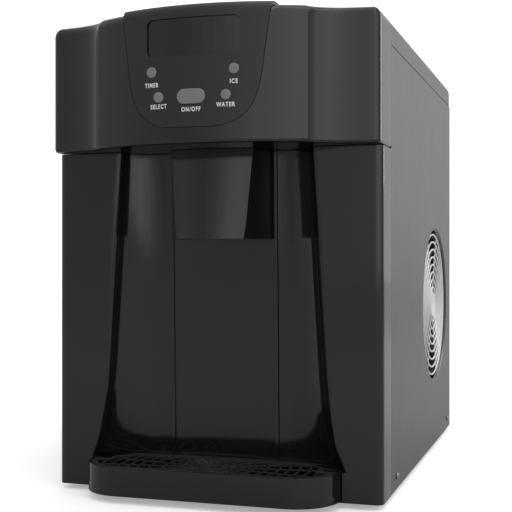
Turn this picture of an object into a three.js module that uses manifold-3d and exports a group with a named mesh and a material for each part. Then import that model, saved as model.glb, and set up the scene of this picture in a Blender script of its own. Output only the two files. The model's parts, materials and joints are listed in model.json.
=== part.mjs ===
// Countertop ice maker with an ice and water dispenser, as separate named pieces.
// Millimetres, +Z up, front towards -Y. The design frame has x = 0 on the centre line, y = 0 on the
// front plane of the side columns and z = 0 on the underside of the body. The last section moves it to
// the part's own frame, whose origin is under the middle of the whole part, on the worktop.
import * as THREE from "three";
import { mergeVertices } from "three/addons/utils/BufferGeometryUtils.js";
import Module from "manifold-3d";

const wasm = await Module();
wasm.setup();

// ---------------------------------------------------------------- driving dimensions

const bodyWidth = 302.6;
const bodyDepth = 403; // front plane of the columns to the rear face
const bodyHeight = 415; // without the feet
const footHeight = 5;
const shellWall = 2.5;
const sheetWall = 2;
const gap = 0.4; // between pieces that lie against each other
const partGap = 0.6; // round a piece that lifts or slides out

const frontShellDepth = 35.5; // front shell, back to the vertical seam
const cornerRadius = 6.5; // upright outer corners
const topFillet = 9;
const lowerFillet = 3;

const headHeight = 114; // overhanging head above the dispensing bay
const bulgeReach = 49.3; // middle of the head in front of the columns
const creaseReach = 30.2; // crease between the bulge and each wing
const wingWidth = 56.3; // crease to the side face
const wingEdgeReach = 11.4; // front of the wing where it meets the corner

const columnTopWidth = 62.9; // column beside the bay, at the head
const columnFootWidth = 45.9; // the same at the tray, without the flare
const footFlare = 10; // how far the bay widens at the tray
const flareHalving = 14; // height over which the flare halves
const lipRadius = 5.5; // inner front edge of each column
const bayDepthTop = 22.6;
const bayDepthFoot = 29.1;
const bayHollow = 2.5; // how far the centre panel bows back
const ribInner = 47.2;
const ribWidth = 4.8;
const ribProud = 1.6;

const panelHalfTop = 66.8; // control panel, where it wraps over the top
const panelHalfMiddle = 61;
const panelBend = 42; // height from the head's top to where the sides start to round
const panelFootRise = 13.7; // bottom of the panel above the head's underside
const panelThickness = 3;
const panelProud = 3.2; // top plate above the head

const windowWidth = 82.6;
const windowHeight = 31.3;
const windowDrop = 25.1; // centre of the window below the head's top
const windowCorner = 5;
const windowSink = 1.4;
const windowThickness = 1.8;

const buttonRadius = 4.5;
const buttonProud = 0.9;
const buttonTravel = 1.2;
const buttonFlange = 1.6;
const powerKeyWidth = 25;
const powerKeyHeight = 12.6;
const upperKeyX = 36.6;
const lowerKeyX = 29.9;
const upperKeyShare = 0.2124; // share of the panel below the window that is above the key row's middle
const lowerKeyShare = 0.5684;
const powerKeyDrop = 0.4; // on/off key below the lower row's middle
const boardSetback = 15; // board behind the middle of the bulge
const switchHeight = 2.5;

const spoutHeight = 78.3;
const spoutTopHalf = 38.7; // front face at the head
const spoutFootHalf = 31.7; // front face at the mouth
const spoutBandHeight = 12.3; // tapered band at the mouth
const spoutBandHalf = 33.5;
const spoutTopReach = 1.3; // edges of the front face in front of the columns
const spoutFootReach = 6.5;
const spoutBow = 8; // how far the front face bows out
const spoutRearHalf = 49;
const spoutWall = 2.2;

const trayReach = 38.6; // tray in front of the columns
const trayCorner = 37.5;
const trayHeight = 25;
const trayLift = 1.6; // underside of the tray above the body's underside
const trayWall = 2.2;
const grilleThickness = 3;
const grilleLedge = 2.5;
const trayRearRim = 6; // wide rim behind the grille, which keeps it clear of the bay's back wall
const grillePitch = 20;
const grilleRings = 3;
const grilleBar = 8;
const grilleHub = 11;
const grilleCentreReach = 8.8;
const columnClearance = 5; // grille to the columns when it is lifted
const grilleLift = 30; // how far the grille lifts before it must clear the flared columns

const fanRadius = 84.5;
const fanFromRear = 115;
const fanHeight = 154;
const fanRim = 2.5; // how much the opening narrows through the panel
const guardRings = 5;
const guardBar = 3;
const guardHub = 12;
const guardDepth = 3.5;
const shroudWall = 3;
const shroudDepth = 24;
const fanHubRadius = 20;
const fanBladeCount = 7;
const fanBladeChord = 34;
const fanTipGap = 4;

const topCoverHeight = 24;
const lidMargin = 37; // lid to the side faces
const lidFront = 50;
const lidLength = 230;
const lidThickness = 3;
const lidHingeInset = 5.4;
const lidHingeDrop = 7;
const lidBorder = 26;
const windowPane = 2;

const hopperClear = 3;
const hopperLength = 138;
const augerRadius = 17;
const augerPitch = 34;
const augerShaft = 4;
const augerWall = 2.5;

const troughHalf = 64;
const troughDepth = 28;
const troughHeight = 22;
const troughPivotBack = 35; // pivot behind the trough's front face
const troughPivotRise = 12; // pivot above the trough's rim
const fingerPitch = 13;
const fingerCount = 9;
const fingerRadius = 4;

const tankFloor = 96;
const compressorRadius = 50;
const compressorHeight = 140;
const hoseRadius = 4;
const slotWidth = 5; // air slots
const sideSlotCount = 9;
const sideSlotPitch = 11;
const sideSlotBottom = 70;
const sideSlotTop = 150;
const rearSlotRows = 8;
const rearSlotPitch = 14;
const rearSlotBottom = 110;
const rearSlotX = 60; // middle of each column of slots
const rearSlotLength = 90;
const footRadius = 12;
const footInset = 36;

const curveSteps = 10;
const roundSteps = 20;

// ---------------------------------------------------------------- places worked out from them

const half = bodyWidth / 2;
const soffitZ = bodyHeight - headHeight;
const seamZ = bodyHeight - topCoverHeight;
const trayTopZ = trayLift + trayHeight;
const trayHalf = half - columnFootWidth + footFlare;
const creaseX = half - wingWidth;
const ribOuter = ribInner + ribWidth;
const fanY = bodyDepth - fanFromRear;
const partitionY = fanY - fanRadius - 6;
const lidHalf = half - lidMargin;
const lidRear = lidFront + lidLength;
const deckZ = soffitZ + sheetWall - 0.5; // top of the deck that carries the ice compartment
const linerZ = deckZ + gap;
const linerFront = lidFront - 1.5;
const linerRear = lidRear + 6;
const linerHalf = lidHalf + 3;
const coverUnderZ = bodyHeight - lidThickness;
const hingeY = lidRear - lidHingeInset;
const hingeZ = bodyHeight - lidHingeDrop;
const lidSwing = Math.hypot(lidHingeInset, lidHingeDrop) + 1.2;
const augerZ = linerZ + sheetWall + gap + augerWall + augerRadius + 3;
const hopperFront = linerFront + sheetWall + gap;
const hopperRear = hopperFront + hopperLength;
const boardY = -bulgeReach + boardSetback;
const troughTopZ = coverUnderZ - 26;
const troughFrontY = hopperRear + 26;
const pivotY = troughFrontY + troughPivotBack;
const pivotZ = troughTopZ + troughPivotRise;
const rearSheetY = bodyDepth - shellWall;
const innerHalf = half - sheetWall - gap;

// ---------------------------------------------------------------- solids

/** A closed three.js geometry as a manifold-3d solid whose faces point outwards. */
function solid(geometry) {
  const plain = geometry.index ? geometry.toNonIndexed() : geometry.clone();
  plain.deleteAttribute("normal");
  plain.deleteAttribute("uv");
  const merged = mergeVertices(plain, 1e-4);
  const vertProperties = new Float32Array(merged.attributes.position.array);
  const triVerts = new Uint32Array(merged.index.array);
  const made = new wasm.Manifold(new wasm.Mesh({ numProp: 3, vertProperties, triVerts }));
  if (made.volume() > 0) return made;
  const turned = triVerts.slice().reverse();
  return new wasm.Manifold(new wasm.Mesh({ numProp: 3, vertProperties, triVerts: turned }));
}

/** A manifold-3d solid as a three.js geometry. */
function geometryOf(body) {
  const mesh = body.getMesh();
  const geometry = new THREE.BufferGeometry();
  geometry.setAttribute("position", new THREE.BufferAttribute(new Float32Array(mesh.vertProperties), 3));
  geometry.setIndex(new THREE.BufferAttribute(new Uint32Array(mesh.triVerts), 1));
  geometry.computeVertexNormals();
  return geometry;
}

function box(x0, x1, y0, y1, z0, z1) {
  const geometry = new THREE.BoxGeometry(x1 - x0, y1 - y0, z1 - z0);
  geometry.translate((x0 + x1) / 2, (y0 + y1) / 2, (z0 + z1) / 2);
  return solid(geometry);
}

function shapeOf(points) {
  return new THREE.Shape(flat(points));
}

/** An outline extruded along one axis; its points are the other two coordinates in x, y, z order. */
function prism(axis, points, from, to) {
  const geometry = new THREE.ExtrudeGeometry(shapeOf(points), { depth: to - from, bevelEnabled: false });
  const turn = new THREE.Matrix4();
  const move = new THREE.Matrix4();
  if (axis === "x") {
    turn.makeBasis(new THREE.Vector3(0, 1, 0), new THREE.Vector3(0, 0, 1), new THREE.Vector3(1, 0, 0));
    move.makeTranslation(from, 0, 0);
  }
  if (axis === "y") {
    turn.makeBasis(new THREE.Vector3(1, 0, 0), new THREE.Vector3(0, 0, 1), new THREE.Vector3(0, -1, 0));
    move.makeTranslation(0, to, 0);
  }
  if (axis === "z") move.makeTranslation(0, 0, from);
  geometry.applyMatrix4(turn);
  geometry.applyMatrix4(move);
  return solid(geometry);
}

/** Turns a shape made about the Y axis so that it stands about the named axis. */
function turnTo(geometry, axis) {
  if (axis === "x") geometry.rotateZ(-Math.PI / 2);
  if (axis === "z") geometry.rotateX(Math.PI / 2);
  return geometry;
}

/** A round rod along an axis through a point; centre gives the two other coordinates. */
function rod(axis, centre, radius, from, to, steps = roundSteps) {
  const geometry = new THREE.CylinderGeometry(radius, radius, to - from, steps);
  geometry.translate(0, (from + to) / 2, 0);
  turnTo(geometry, axis);
  return solid(placeAbout(geometry, axis, centre));
}

/** A turned shape: profile points are [radius, distance along the axis], closed or ending on the axis. */
function turned(axis, centre, profile, steps = roundSteps) {
  const points = profile.map(([r, a]) => new THREE.Vector2(r, a));
  const geometry = new THREE.LatheGeometry(points, steps);
  turnTo(geometry, axis);
  return solid(placeAbout(geometry, axis, centre));
}

function placeAbout(geometry, axis, [a, b]) {
  if (axis === "x") geometry.translate(0, a, b);
  if (axis === "y") geometry.translate(a, 0, b);
  if (axis === "z") geometry.translate(a, b, 0);
  return geometry;
}

function ring(axis, centre, inner, outer, from, to, steps = roundSteps) {
  return turned(axis, centre, [[inner, from], [outer, from], [outer, to], [inner, to], [inner, from]], steps);
}

/** A closed body through rings of points that all have the same number of points. */
function loft(sections) {
  const count = sections[0].length;
  const clockwise = count > 4 && THREE.ShapeUtils.isClockWise(flat(sections[0]));
  const rings = clockwise ? sections.map((section) => [...section].reverse()) : sections;
  const positions = rings.flat(2);
  const indices = [];
  for (let level = 0; level + 1 < rings.length; level++) {
    for (let i = 0; i < count; i++) {
      const a = level * count + i;
      const b = level * count + ((i + 1) % count);
      indices.push(a, b, b + count);
      indices.push(a, b + count, a + count);
    }
  }
  const last = (rings.length - 1) * count;
  for (const [a, b, c] of capOf(rings[0])) indices.push(c, b, a);
  for (const [a, b, c] of capOf(rings[rings.length - 1])) indices.push(last + a, last + b, last + c);
  const geometry = new THREE.BufferGeometry();
  geometry.setAttribute("position", new THREE.Float32BufferAttribute(positions, 3));
  geometry.setIndex(indices);
  return solid(geometry);
}

function flat(points) {
  return points.map(([x, y]) => new THREE.Vector2(x, y));
}

function capOf(points) {
  if (points.length === 4) return [[0, 1, 2], [0, 2, 3]];
  return THREE.ShapeUtils.triangulateShape(flat(points), []);
}

/** A round tube along a smooth curve through points. */
function tube(points, radius, steps) {
  const path = new THREE.CatmullRomCurve3(points.map(([x, y, z]) => new THREE.Vector3(x, y, z)));
  const section = new THREE.Shape().absarc(0, 0, radius, 0, 2 * Math.PI);
  const options = { steps, curveSegments: 4, extrudePath: path, bevelEnabled: false };
  return solid(new THREE.ExtrudeGeometry(section, options));
}

function joined(bodies) {
  return bodies.reduce((sum, body) => sum.add(body));
}

/** The main body of a solid, without slivers that came loose from it. */
function largest(body) {
  return body.decompose().reduce((most, part) => (part.volume() > most.volume() ? part : most));
}

function cutBy(body, cutters) {
  return cutters.reduce((rest, cutter) => rest.subtract(cutter), body);
}

// ---------------------------------------------------------------- outlines

function arc([cx, cy], radius, fromDegrees, toDegrees, steps) {
  const points = [];
  for (let i = 0; i <= steps; i++) {
    const angle = THREE.MathUtils.degToRad(fromDegrees + ((toDegrees - fromDegrees) * i) / steps);
    points.push([cx + radius * Math.cos(angle), cy + radius * Math.sin(angle)]);
  }
  return points;
}

function curve(controls, steps) {
  const at = controls.map(([x, y]) => new THREE.Vector2(x, y));
  const made = at.length === 3 ? new THREE.QuadraticBezierCurve(...at) : new THREE.CubicBezierCurve(...at);
  return made.getPoints(steps).map((p) => [p.x, p.y]);
}

/** A half outline that starts at x = 0 joined with its mirror image, running left to right. */
function mirrored(rightHalf) {
  const left = rightHalf.slice(1).reverse().map(([x, y]) => [-x, y]);
  return [...left, ...rightHalf];
}

/** A line of points moved sideways to its left by a distance; its two ends move along x only. */
function offset(points, distance) {
  return points.map(([x, y], i) => {
    if (i === 0) return [x + distance, y];
    if (i === points.length - 1) return [x - distance, y];
    const before = new THREE.Vector2(x - points[i - 1][0], y - points[i - 1][1]).normalize();
    const after = new THREE.Vector2(points[i + 1][0] - x, points[i + 1][1] - y).normalize();
    const normal = new THREE.Vector2(-(before.y + after.y), before.x + after.x).normalize();
    const reach = distance / Math.max(0.5, normal.dot(new THREE.Vector2(-before.y, before.x)));
    return [x + normal.x * reach, y + normal.y * reach];
  });
}

function roundedRectangle(width, height, radius, [cx, cy], steps = 4) {
  const w = width / 2 - radius;
  const h = height / 2 - radius;
  return [
    ...arc([cx + w, cy - h], radius, -90, 0, steps),
    ...arc([cx + w, cy + h], radius, 0, 90, steps),
    ...arc([cx - w, cy + h], radius, 90, 180, steps),
    ...arc([cx - w, cy - h], radius, 180, 270, steps),
  ];
}

const leastCorner = 0.5; // corner radius that is left where the top rounds over
const bulgeRise = bulgeReach - creaseReach;
const bulgeRadius = (creaseX * creaseX + bulgeRise * bulgeRise) / (2 * bulgeRise);

/** Front face of the bulge at a distance from the centre line. */
function bulgeY(x) {
  return -bulgeReach + bulgeRadius - Math.sqrt(bulgeRadius * bulgeRadius - x * x);
}

/** Plan outline of the head: bulge, creases, hollow wings and rounded corners. */
function headOutline(inset) {
  const bulge = [];
  for (let i = 0; i < curveSteps; i++) {
    const x = (creaseX * i) / curveSteps;
    bulge.push([x, bulgeY(x)]);
  }
  const slant = 8;
  const radius = Math.max(cornerRadius, inset + leastCorner);
  const centreY = -wingEdgeReach + radius * Math.cos(THREE.MathUtils.degToRad(slant));
  const corner = arc([half - radius, centreY], radius, -90 + slant, 0, 5);
  const wing = curve([[creaseX, -creaseReach], [creaseX + 9.5, -creaseReach + 15.5], corner[0]], 8);
  const right = [...bulge, ...wing.slice(0, -1), ...corner, [half, frontShellDepth]];
  return offset(mirrored(right), inset);
}

/** The head's outside as a solid, moved inwards by an inset, up to a top height. */
function headSolid(inset, topZ) {
  const rings = [];
  const fillet = topFillet - inset;
  const add = (extra, z) => rings.push(headOutline(inset + extra).map(([x, y]) => [x, y, z]));
  add(lowerFillet, soffitZ + inset);
  add(lowerFillet * 0.3, soffitZ + inset + lowerFillet * 0.3);
  add(0, soffitZ + inset + lowerFillet);
  for (let i = 0; i <= 4; i++) {
    const angle = (i * Math.PI) / 8;
    add(fillet * (1 - Math.cos(angle)), topZ - fillet + fillet * Math.sin(angle));
  }
  return loft(rings);
}

/** The control panel's outline from the front, grown or shrunk, open above the head's top. */
function panelOutline(grow) {
  const bottom = soffitZ + panelFootRise;
  const bendZ = bodyHeight - panelBend;
  const topZ = bodyHeight + 20;
  const topHalf = panelHalfTop + ((panelHalfTop - panelHalfMiddle) * 17) / panelBend;
  const side = curve([[16, bottom], [panelHalfMiddle - 4.8, bottom], [panelHalfMiddle - 3.2, bendZ - 26],
    [panelHalfMiddle, bendZ]], curveSteps);
  return offset(mirrored([[0, bottom], ...side, [topHalf, topZ]]), -grow);
}

function panelPrism(grow) {
  return prism("y", panelOutline(grow), -bulgeReach - 20, frontShellDepth - 3 + grow);
}

/** Half width of the bay between the columns. */
function bayEdge(z) {
  const foot = half - columnFootWidth;
  const top = half - columnTopWidth;
  const straight = top + ((foot - top) * (soffitZ - z)) / (soffitZ - trayTopZ);
  return straight + footFlare * Math.pow(2, -(z - trayTopZ) / flareHalving);
}

function bayBack(z) {
  return bayDepthTop + ((bayDepthFoot - bayDepthTop) * (soffitZ - z)) / (soffitZ - trayTopZ);
}

/** Plan section of the dispensing bay at a height, grown by a wall thickness. */
function bayOutline(z, grow, ribbed) {
  const back = bayBack(z) + grow;
  const edge = bayEdge(z);
  const right = [];
  const panelSteps = 4;
  for (let i = 0; i < panelSteps; i++) {
    const x = (ribInner * i) / panelSteps;
    right.push([x, back + bayHollow * (1 - (i / panelSteps) ** 2)]);
  }
  right.push([ribInner, back]);
  if (ribbed) right.push([ribInner + 0.6, back - ribProud], [ribOuter - 0.6, back - ribProud]);
  right.push(...curve([[ribOuter, back], [ribOuter + 18, back + 3], [edge + grow - 3, lipRadius + 13],
    [edge + grow, lipRadius]], 9));
  right.push(...arc([edge + lipRadius, lipRadius], lipRadius - grow, 180, 270, 3).slice(1));
  right.push([edge + lipRadius, -60]);
  return mirrored(right);
}

/** The dispensing bay as a solid, with the pocket that the tray slides into. */
function baySolid(grow, ribbed) {
  const rings = [];
  const levels = 9;
  const from = trayTopZ - 1;
  const to = soffitZ + 1;
  for (let i = 0; i <= levels; i++) {
    const z = from + (to - from) * Math.pow(i / levels, 2.2);
    rings.push(bayOutline(Math.max(z, trayTopZ), grow, ribbed).map(([x, y]) => [x, y, z]));
  }
  const pocketHalf = trayHalf + partGap + grow;
  const pocketBack = bayDepthFoot + partGap + grow;
  const pocket = box(-pocketHalf, pocketHalf, -60, pocketBack, trayLift - gap, trayTopZ + 0.9 + grow);
  return loft(rings).add(pocket);
}

/** Plan outline of the drip tray, moved inwards by an inset. */
function trayOutline(inset, rearY) {
  const radius = trayCorner - inset;
  const x = trayHalf - trayCorner;
  const y = -trayReach + trayCorner;
  return mirrored([[0, -trayReach + inset], ...arc([x, y], radius, -90, 0, 8), [trayHalf - inset, rearY]]);
}

// ---------------------------------------------------------------- casing

/** An outline of the front shell with its rear end moved back, so that a cut with it leaves the rear open. */
function openedRear(outline) {
  return outline.map(([x, y]) => [x, y === frontShellDepth ? y + 5 : y]);
}

function frontFascia() {
  const corner = arc([half - cornerRadius, cornerRadius], cornerRadius, -90, 0, 5);
  const outline = mirrored([[0, 0], ...corner, [half, frontShellDepth]]);
  const block = prism("z", outline, 0, soffitZ - gap);
  const hollow = prism("z", openedRear(offset(outline, shellWall)), shellWall, soffitZ - gap - shellWall);
  const shelf = prism("z", trayOutline(8, 6), 0, trayLift - gap);
  return block.subtract(hollow.subtract(baySolid(shellWall, false))).subtract(baySolid(0, true)).add(shelf);
}

function headCover() {
  const outside = headSolid(0, bodyHeight);
  const inner = openedRear(offset(headOutline(0), shellWall));
  const shell = outside.subtract(prism("z", inner, soffitZ + shellWall, bodyHeight - shellWall));
  const pocketDepth = panelThickness + gap;
  const ledgeDepth = pocketDepth + 2.2;
  const ledgeCore = headSolid(ledgeDepth, bodyHeight - shellWall);
  const pocketCore = headSolid(pocketDepth, bodyHeight);
  const aroundPanel = panelPrism(gap + shellWall);
  const inPanel = panelPrism(gap);
  const openPanel = panelPrism(-6);
  const belowTop = box(-half, half, -bulgeReach - 5, boardY + 4, soffitZ, bodyHeight - topFillet - 4);
  const rim = aroundPanel.subtract(inPanel).intersect(outside).subtract(ledgeCore).intersect(belowTop);
  const ledge = inPanel.intersect(pocketCore).subtract(ledgeCore);
  const pocket = inPanel.subtract(pocketCore);
  const frontOnly = box(-half, half, -bulgeReach - 5, boardY + 4, soffitZ, bodyHeight - 11);
  const mouth = box(-chuteHalf - 1, chuteHalf + 1, chuteFrontY - 1, chuteRearY + 1, soffitZ - 5, soffitZ + 5);
  const nozzleHole = rod("z", [nozzleX, nozzleY], nozzleRadius + 0.6, soffitZ - 5, soffitZ + 5, 12);
  const cover = joined([shell.subtract(pocket), rim, ledge]);
  return largest(cutBy(cover, [openPanel.intersect(frontOnly), mouth, nozzleHole]));
}

/** Plan outline of the top cover behind the front seam; the corners at the rear are rounded. */
function coverOutline(inset) {
  const radius = Math.max(cornerRadius, inset + leastCorner);
  const corner = arc([half - radius, bodyDepth - radius], radius - inset, 90, 0, 4);
  const right = [[0, bodyDepth - inset], ...corner, [half - inset, frontShellDepth + gap]];
  return mirrored(right).reverse();
}

function topCover() {
  const rings = [[0, seamZ + gap]];
  for (let i = 0; i <= 4; i++) {
    const angle = (i * Math.PI) / 8;
    rings.push([topFillet * (1 - Math.cos(angle)), bodyHeight - topFillet + topFillet * Math.sin(angle)]);
  }
  const outside = loft(rings.map(([inset, z]) => coverOutline(inset).map(([x, y]) => [x, y, z])));
  const inside = prism("z", coverOutline(shellWall).map(([x, y]) => [x, y < lidFront ? y - 5 : y]),
    seamZ - 1, bodyHeight - topFillet + 2);
  const ceiling = box(-half + topFillet, half - topFillet, 0, bodyDepth - topFillet, seamZ - 1, coverUnderZ);
  const openRear = hingeY + lidSwing;
  const opening = box(-lidHalf, lidHalf, lidFront, openRear, seamZ, bodyHeight + 5);
  const ledgeZ = coverUnderZ - gap;
  const ledge = box(-lidHalf - 3, lidHalf + 3, lidFront - 1, openRear + 4, ledgeZ - 2, coverUnderZ)
    .subtract(box(-lidHalf + 4, lidHalf - 4, lidFront + 4, openRear + 9, seamZ, bodyHeight))
    .subtract(box(-lidHalf, lidHalf, lidFront, openRear + 9, ledgeZ, bodyHeight))
    .subtract(box(-lidHalf - 9, lidHalf + 9, hingeY - 10, openRear + 9, seamZ, bodyHeight));
  const ears = [-1, 1].map((side) => {
    const near = lidHalf + 1;
    const far = lidHalf + 5;
    const ear = box(Math.min(side * near, side * far), Math.max(side * near, side * far),
      hingeY - 5, hingeY + 5, hingeZ - 5, coverUnderZ + 0.5);
    return ear.subtract(rod("x", [hingeY, hingeZ], pinRadius + 0.4, -half, half, 12));
  });
  return joined([cutBy(outside, [inside, ceiling, opening]), ledge, ...ears]);
}

const pinRadius = 1.5;
const knuckleRadius = 4;
const knuckleLength = 12;

function lidFrame() {
  const side = lidHalf - partGap;
  const plate = box(-side, side, lidFront + partGap, lidRear, coverUnderZ, bodyHeight);
  const paneHole = box(-lidHalf + lidBorder, lidHalf - lidBorder, lidFront + lidBorder, lidRear - lidBorder,
    coverUnderZ - 1, bodyHeight + 1);
  const rebate = box(-lidHalf + lidBorder - 3, lidHalf - lidBorder + 3, lidFront + lidBorder - 3,
    lidRear - lidBorder + 3, bodyHeight - windowPane - gap, bodyHeight + 1);
  const knuckles = [-1, 1].flatMap((side) => {
    const inner = side * (lidHalf - partGap - knuckleLength);
    const outer = side * (lidHalf - partGap);
    const from = Math.min(inner, outer);
    const to = Math.max(inner, outer);
    return [
      rod("x", [hingeY, hingeZ], knuckleRadius, from, to, 16),
      box(from, to, hingeY - 3, hingeY + 3, hingeZ, coverUnderZ + 0.5),
    ];
  });
  const bore = rod("x", [hingeY, hingeZ], pinRadius + 0.4, -half, half, 12);
  return cutBy(joined([cutBy(plate, [paneHole, rebate]), ...knuckles]), [bore]);
}

function lidWindow() {
  const edge = lidBorder - 3 + gap;
  return box(-lidHalf + edge, lidHalf - edge, lidFront + edge, lidRear - edge,
    bodyHeight - windowPane, bodyHeight - 0.2);
}

function hingePin(side) {
  const inner = side * (lidHalf - knuckleLength - 2);
  const outer = side * (lidHalf + 6);
  return rod("x", [hingeY, hingeZ], pinRadius, Math.min(inner, outer), Math.max(inner, outer), 12);
}

function sidePanel(side) {
  const outer = side * half;
  const inner = side * (half - sheetWall);
  const front = frontShellDepth + gap;
  const plate = box(Math.min(inner, outer), Math.max(inner, outer), front, bodyDepth, 0, seamZ);
  if (side > 0) {
    const throat = fanRadius - fanRim;
    const inside = half - sheetWall;
    const hole = turned("x", [fanY, fanHeight], [[0, inside - 1], [throat, inside - 1], [throat, inside],
      [fanRadius, half], [fanRadius, half + 1], [0, half + 1]], 48);
    return plate.subtract(hole);
  }
  const slots = [];
  for (let i = 0; i < sideSlotCount; i++) {
    const y = compressorY + (i - (sideSlotCount - 1) / 2) * sideSlotPitch;
    slots.push(box(-half - 1, -half + sheetWall + 1, y - slotWidth / 2, y + slotWidth / 2,
      sideSlotBottom, sideSlotTop));
  }
  return cutBy(plate, slots);
}

const inletX = 92;
const inletZ = 34;
const drainX = -96;
const drainZ = 30;
const drainRadius = 7;
const drainWall = 2.5;
const drainProud = 1.5; // how far the drain stands out of the rear face
const drainCapThickness = 4;

function rearPanel() {
  const plate = box(-innerHalf, innerHalf, rearSheetY, bodyDepth - 0.5, 0.4, seamZ - 0.4);
  const cuts = [
    box(inletX - 14.4, inletX + 14.4, rearSheetY - 1, bodyDepth + 1, inletZ - 10.4, inletZ + 10.4),
    rod("y", [drainX, drainZ], drainRadius + gap, rearSheetY - 1, bodyDepth + 1, 16),
  ];
  for (let i = 0; i < rearSlotRows; i++) {
    const z = rearSlotBottom + i * rearSlotPitch;
    for (const x of [-rearSlotX, rearSlotX]) {
      cuts.push(box(x - rearSlotLength / 2, x + rearSlotLength / 2, rearSheetY - 1, bodyDepth + 1,
        z - slotWidth / 2, z + slotWidth / 2));
    }
  }
  return cutBy(plate, cuts);
}

const flangeHeight = 12;

function basePan() {
  const front = frontShellDepth + gap;
  const rear = rearSheetY - gap;
  const side = innerHalf;
  const inner = side - sheetWall;
  const pan = box(-side, side, front, rear, 0, flangeHeight)
    .subtract(box(-inner, inner, front - 5, rear - sheetWall, sheetWall, flangeHeight + 5));
  return cutBy(pan, footPlaces.map(([x, y]) => rod("z", [x, y], footStud + gap, -1, sheetWall + 1, 12)));
}

const footStud = 4;
const footPlaces = [
  [-half + footInset, frontShellDepth + footInset],
  [half - footInset, frontShellDepth + footInset],
  [-half + footInset, bodyDepth - footInset],
  [half - footInset, bodyDepth - footInset],
];

function foot([x, y]) {
  const studTop = sheetWall + 2;
  const profile = [[0, -footHeight], [footRadius - 2, -footHeight], [footRadius, -footHeight + 1.5],
    [footRadius, -gap], [footStud, -gap], [footStud, studTop], [0, studTop]];
  return turned("z", [x, y], profile, 16);
}

// ---------------------------------------------------------------- control panel

const windowZ = bodyHeight - windowDrop;
const keyFieldTop = bodyHeight - windowDrop - windowHeight / 2;
const keyField = keyFieldTop - soffitZ - panelFootRise;
const upperKeyZ = keyFieldTop - upperKeyShare * keyField;
const lowerKeyZ = keyFieldTop - lowerKeyShare * keyField;
const roundKeys = {
  timer_button: [-upperKeyX, upperKeyZ],
  ice_button: [upperKeyX, upperKeyZ],
  select_button: [-lowerKeyX, lowerKeyZ],
  water_button: [lowerKeyX, lowerKeyZ],
};
const powerKeyZ = lowerKeyZ - powerKeyDrop;

function powerKeyOutline(grow) {
  const height = powerKeyHeight + 2 * grow;
  return roundedRectangle(powerKeyWidth + 2 * grow, height, height / 2 - 0.05, [0, powerKeyZ], 6);
}

function windowOutline(grow) {
  return roundedRectangle(windowWidth + 2 * grow, windowHeight + 2 * grow, windowCorner + grow, [0, windowZ]);
}

function controlPanel() {
  const skin = headSolid(0, bodyHeight + panelProud).subtract(headSolid(panelThickness, bodyHeight + gap));
  const frontY = -bulgeReach - 5;
  const backY = boardY + 5;
  const cuts = [
    prism("y", windowOutline(0), frontY, backY),
    prism("y", powerKeyOutline(gap), frontY, backY),
    ...Object.values(roundKeys).map((at) => rod("y", at, buttonRadius + gap, frontY, backY, 14)),
  ];
  return cutBy(panelPrism(0).intersect(skin), cuts);
}

function displayWindow() {
  const behind = headSolid(windowSink + windowThickness, bodyHeight - 2);
  const skin = headSolid(windowSink, bodyHeight).subtract(behind);
  const frontOnly = box(-half, half, -bulgeReach - 5, boardY, soffitZ, bodyHeight - topFillet - 0.5);
  return prism("y", windowOutline(-0.3), -bulgeReach - 5, boardY).intersect(skin).intersect(frontOnly);
}

const switchFrontY = boardY - switchHeight;
const keyRearY = switchFrontY - buttonTravel - 0.3;

function flangeY(x) {
  return bulgeY(x) + panelThickness + 0.3 + buttonTravel + 0.3;
}

function roundKey([x, z]) {
  const front = bulgeY(x) - buttonProud;
  const flange = flangeY(Math.abs(x) + buttonRadius + 1.5);
  return turned("y", [x, z], [[0, front], [buttonRadius - 0.8, front + 0.1], [buttonRadius, front + 0.9],
    [buttonRadius, flange], [buttonRadius + 1.5, flange], [buttonRadius + 1.5, flange + buttonFlange],
    [2, flange + buttonFlange], [2, keyRearY], [0, keyRearY]], 14);
}

function powerKey() {
  const flange = flangeY(powerKeyWidth / 2 + 1.5);
  const cap = prism("y", powerKeyOutline(0), -bulgeReach - buttonProud, flange);
  const rim = prism("y", powerKeyOutline(1.5), flange, flange + buttonFlange);
  const stem = rod("y", [0, powerKeyZ], 2.5, flange, keyRearY, 12);
  return joined([cap, rim, stem]);
}

function controlBoard() {
  const board = box(-56, 56, boardY, boardY + 1.6, soffitZ + 22, windowZ - windowHeight / 2 - 3);
  const places = [...Object.values(roundKeys), [0, powerKeyZ]];
  const switches = places.map(([x, z]) => box(x - 3, x + 3, switchFrontY, boardY + 0.5, z - 3, z + 3));
  const chip = box(-14, 14, boardY + 1, boardY + 4.6, soffitZ + 30, soffitZ + 44);
  return joined([board, ...switches, chip]);
}

function displayModule() {
  const w = windowWidth / 2 - 3;
  const h = windowHeight / 2 - 2;
  const front = bulgeY(w) + windowSink + windowThickness + 1.2;
  const housing = box(-w, w, front, boardY, windowZ - h, windowZ + h);
  const pane = box(-w + 8, w - 8, front - 1, front + 1, windowZ - h + 3, windowZ + h - 3);
  return housing.add(pane);
}

// ---------------------------------------------------------------- dispenser

const chuteHalf = 22;
const chuteDepth = 17;
const chuteFrontY = spoutWall + partGap - spoutTopReach - spoutBow * (1 - (chuteHalf / spoutTopHalf) ** 2);
const chuteRearY = chuteFrontY + chuteDepth;
const chuteWall = 2;
const chuteEndZ = soffitZ - spoutHeight + 22;
const flapPinRadius = 1.1;
const flapPinY = chuteRearY + 2;
const flapPinZ = chuteEndZ - 4;
const nozzleX = 32;
const nozzleY = 9;
const nozzleRadius = 3.5;

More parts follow.
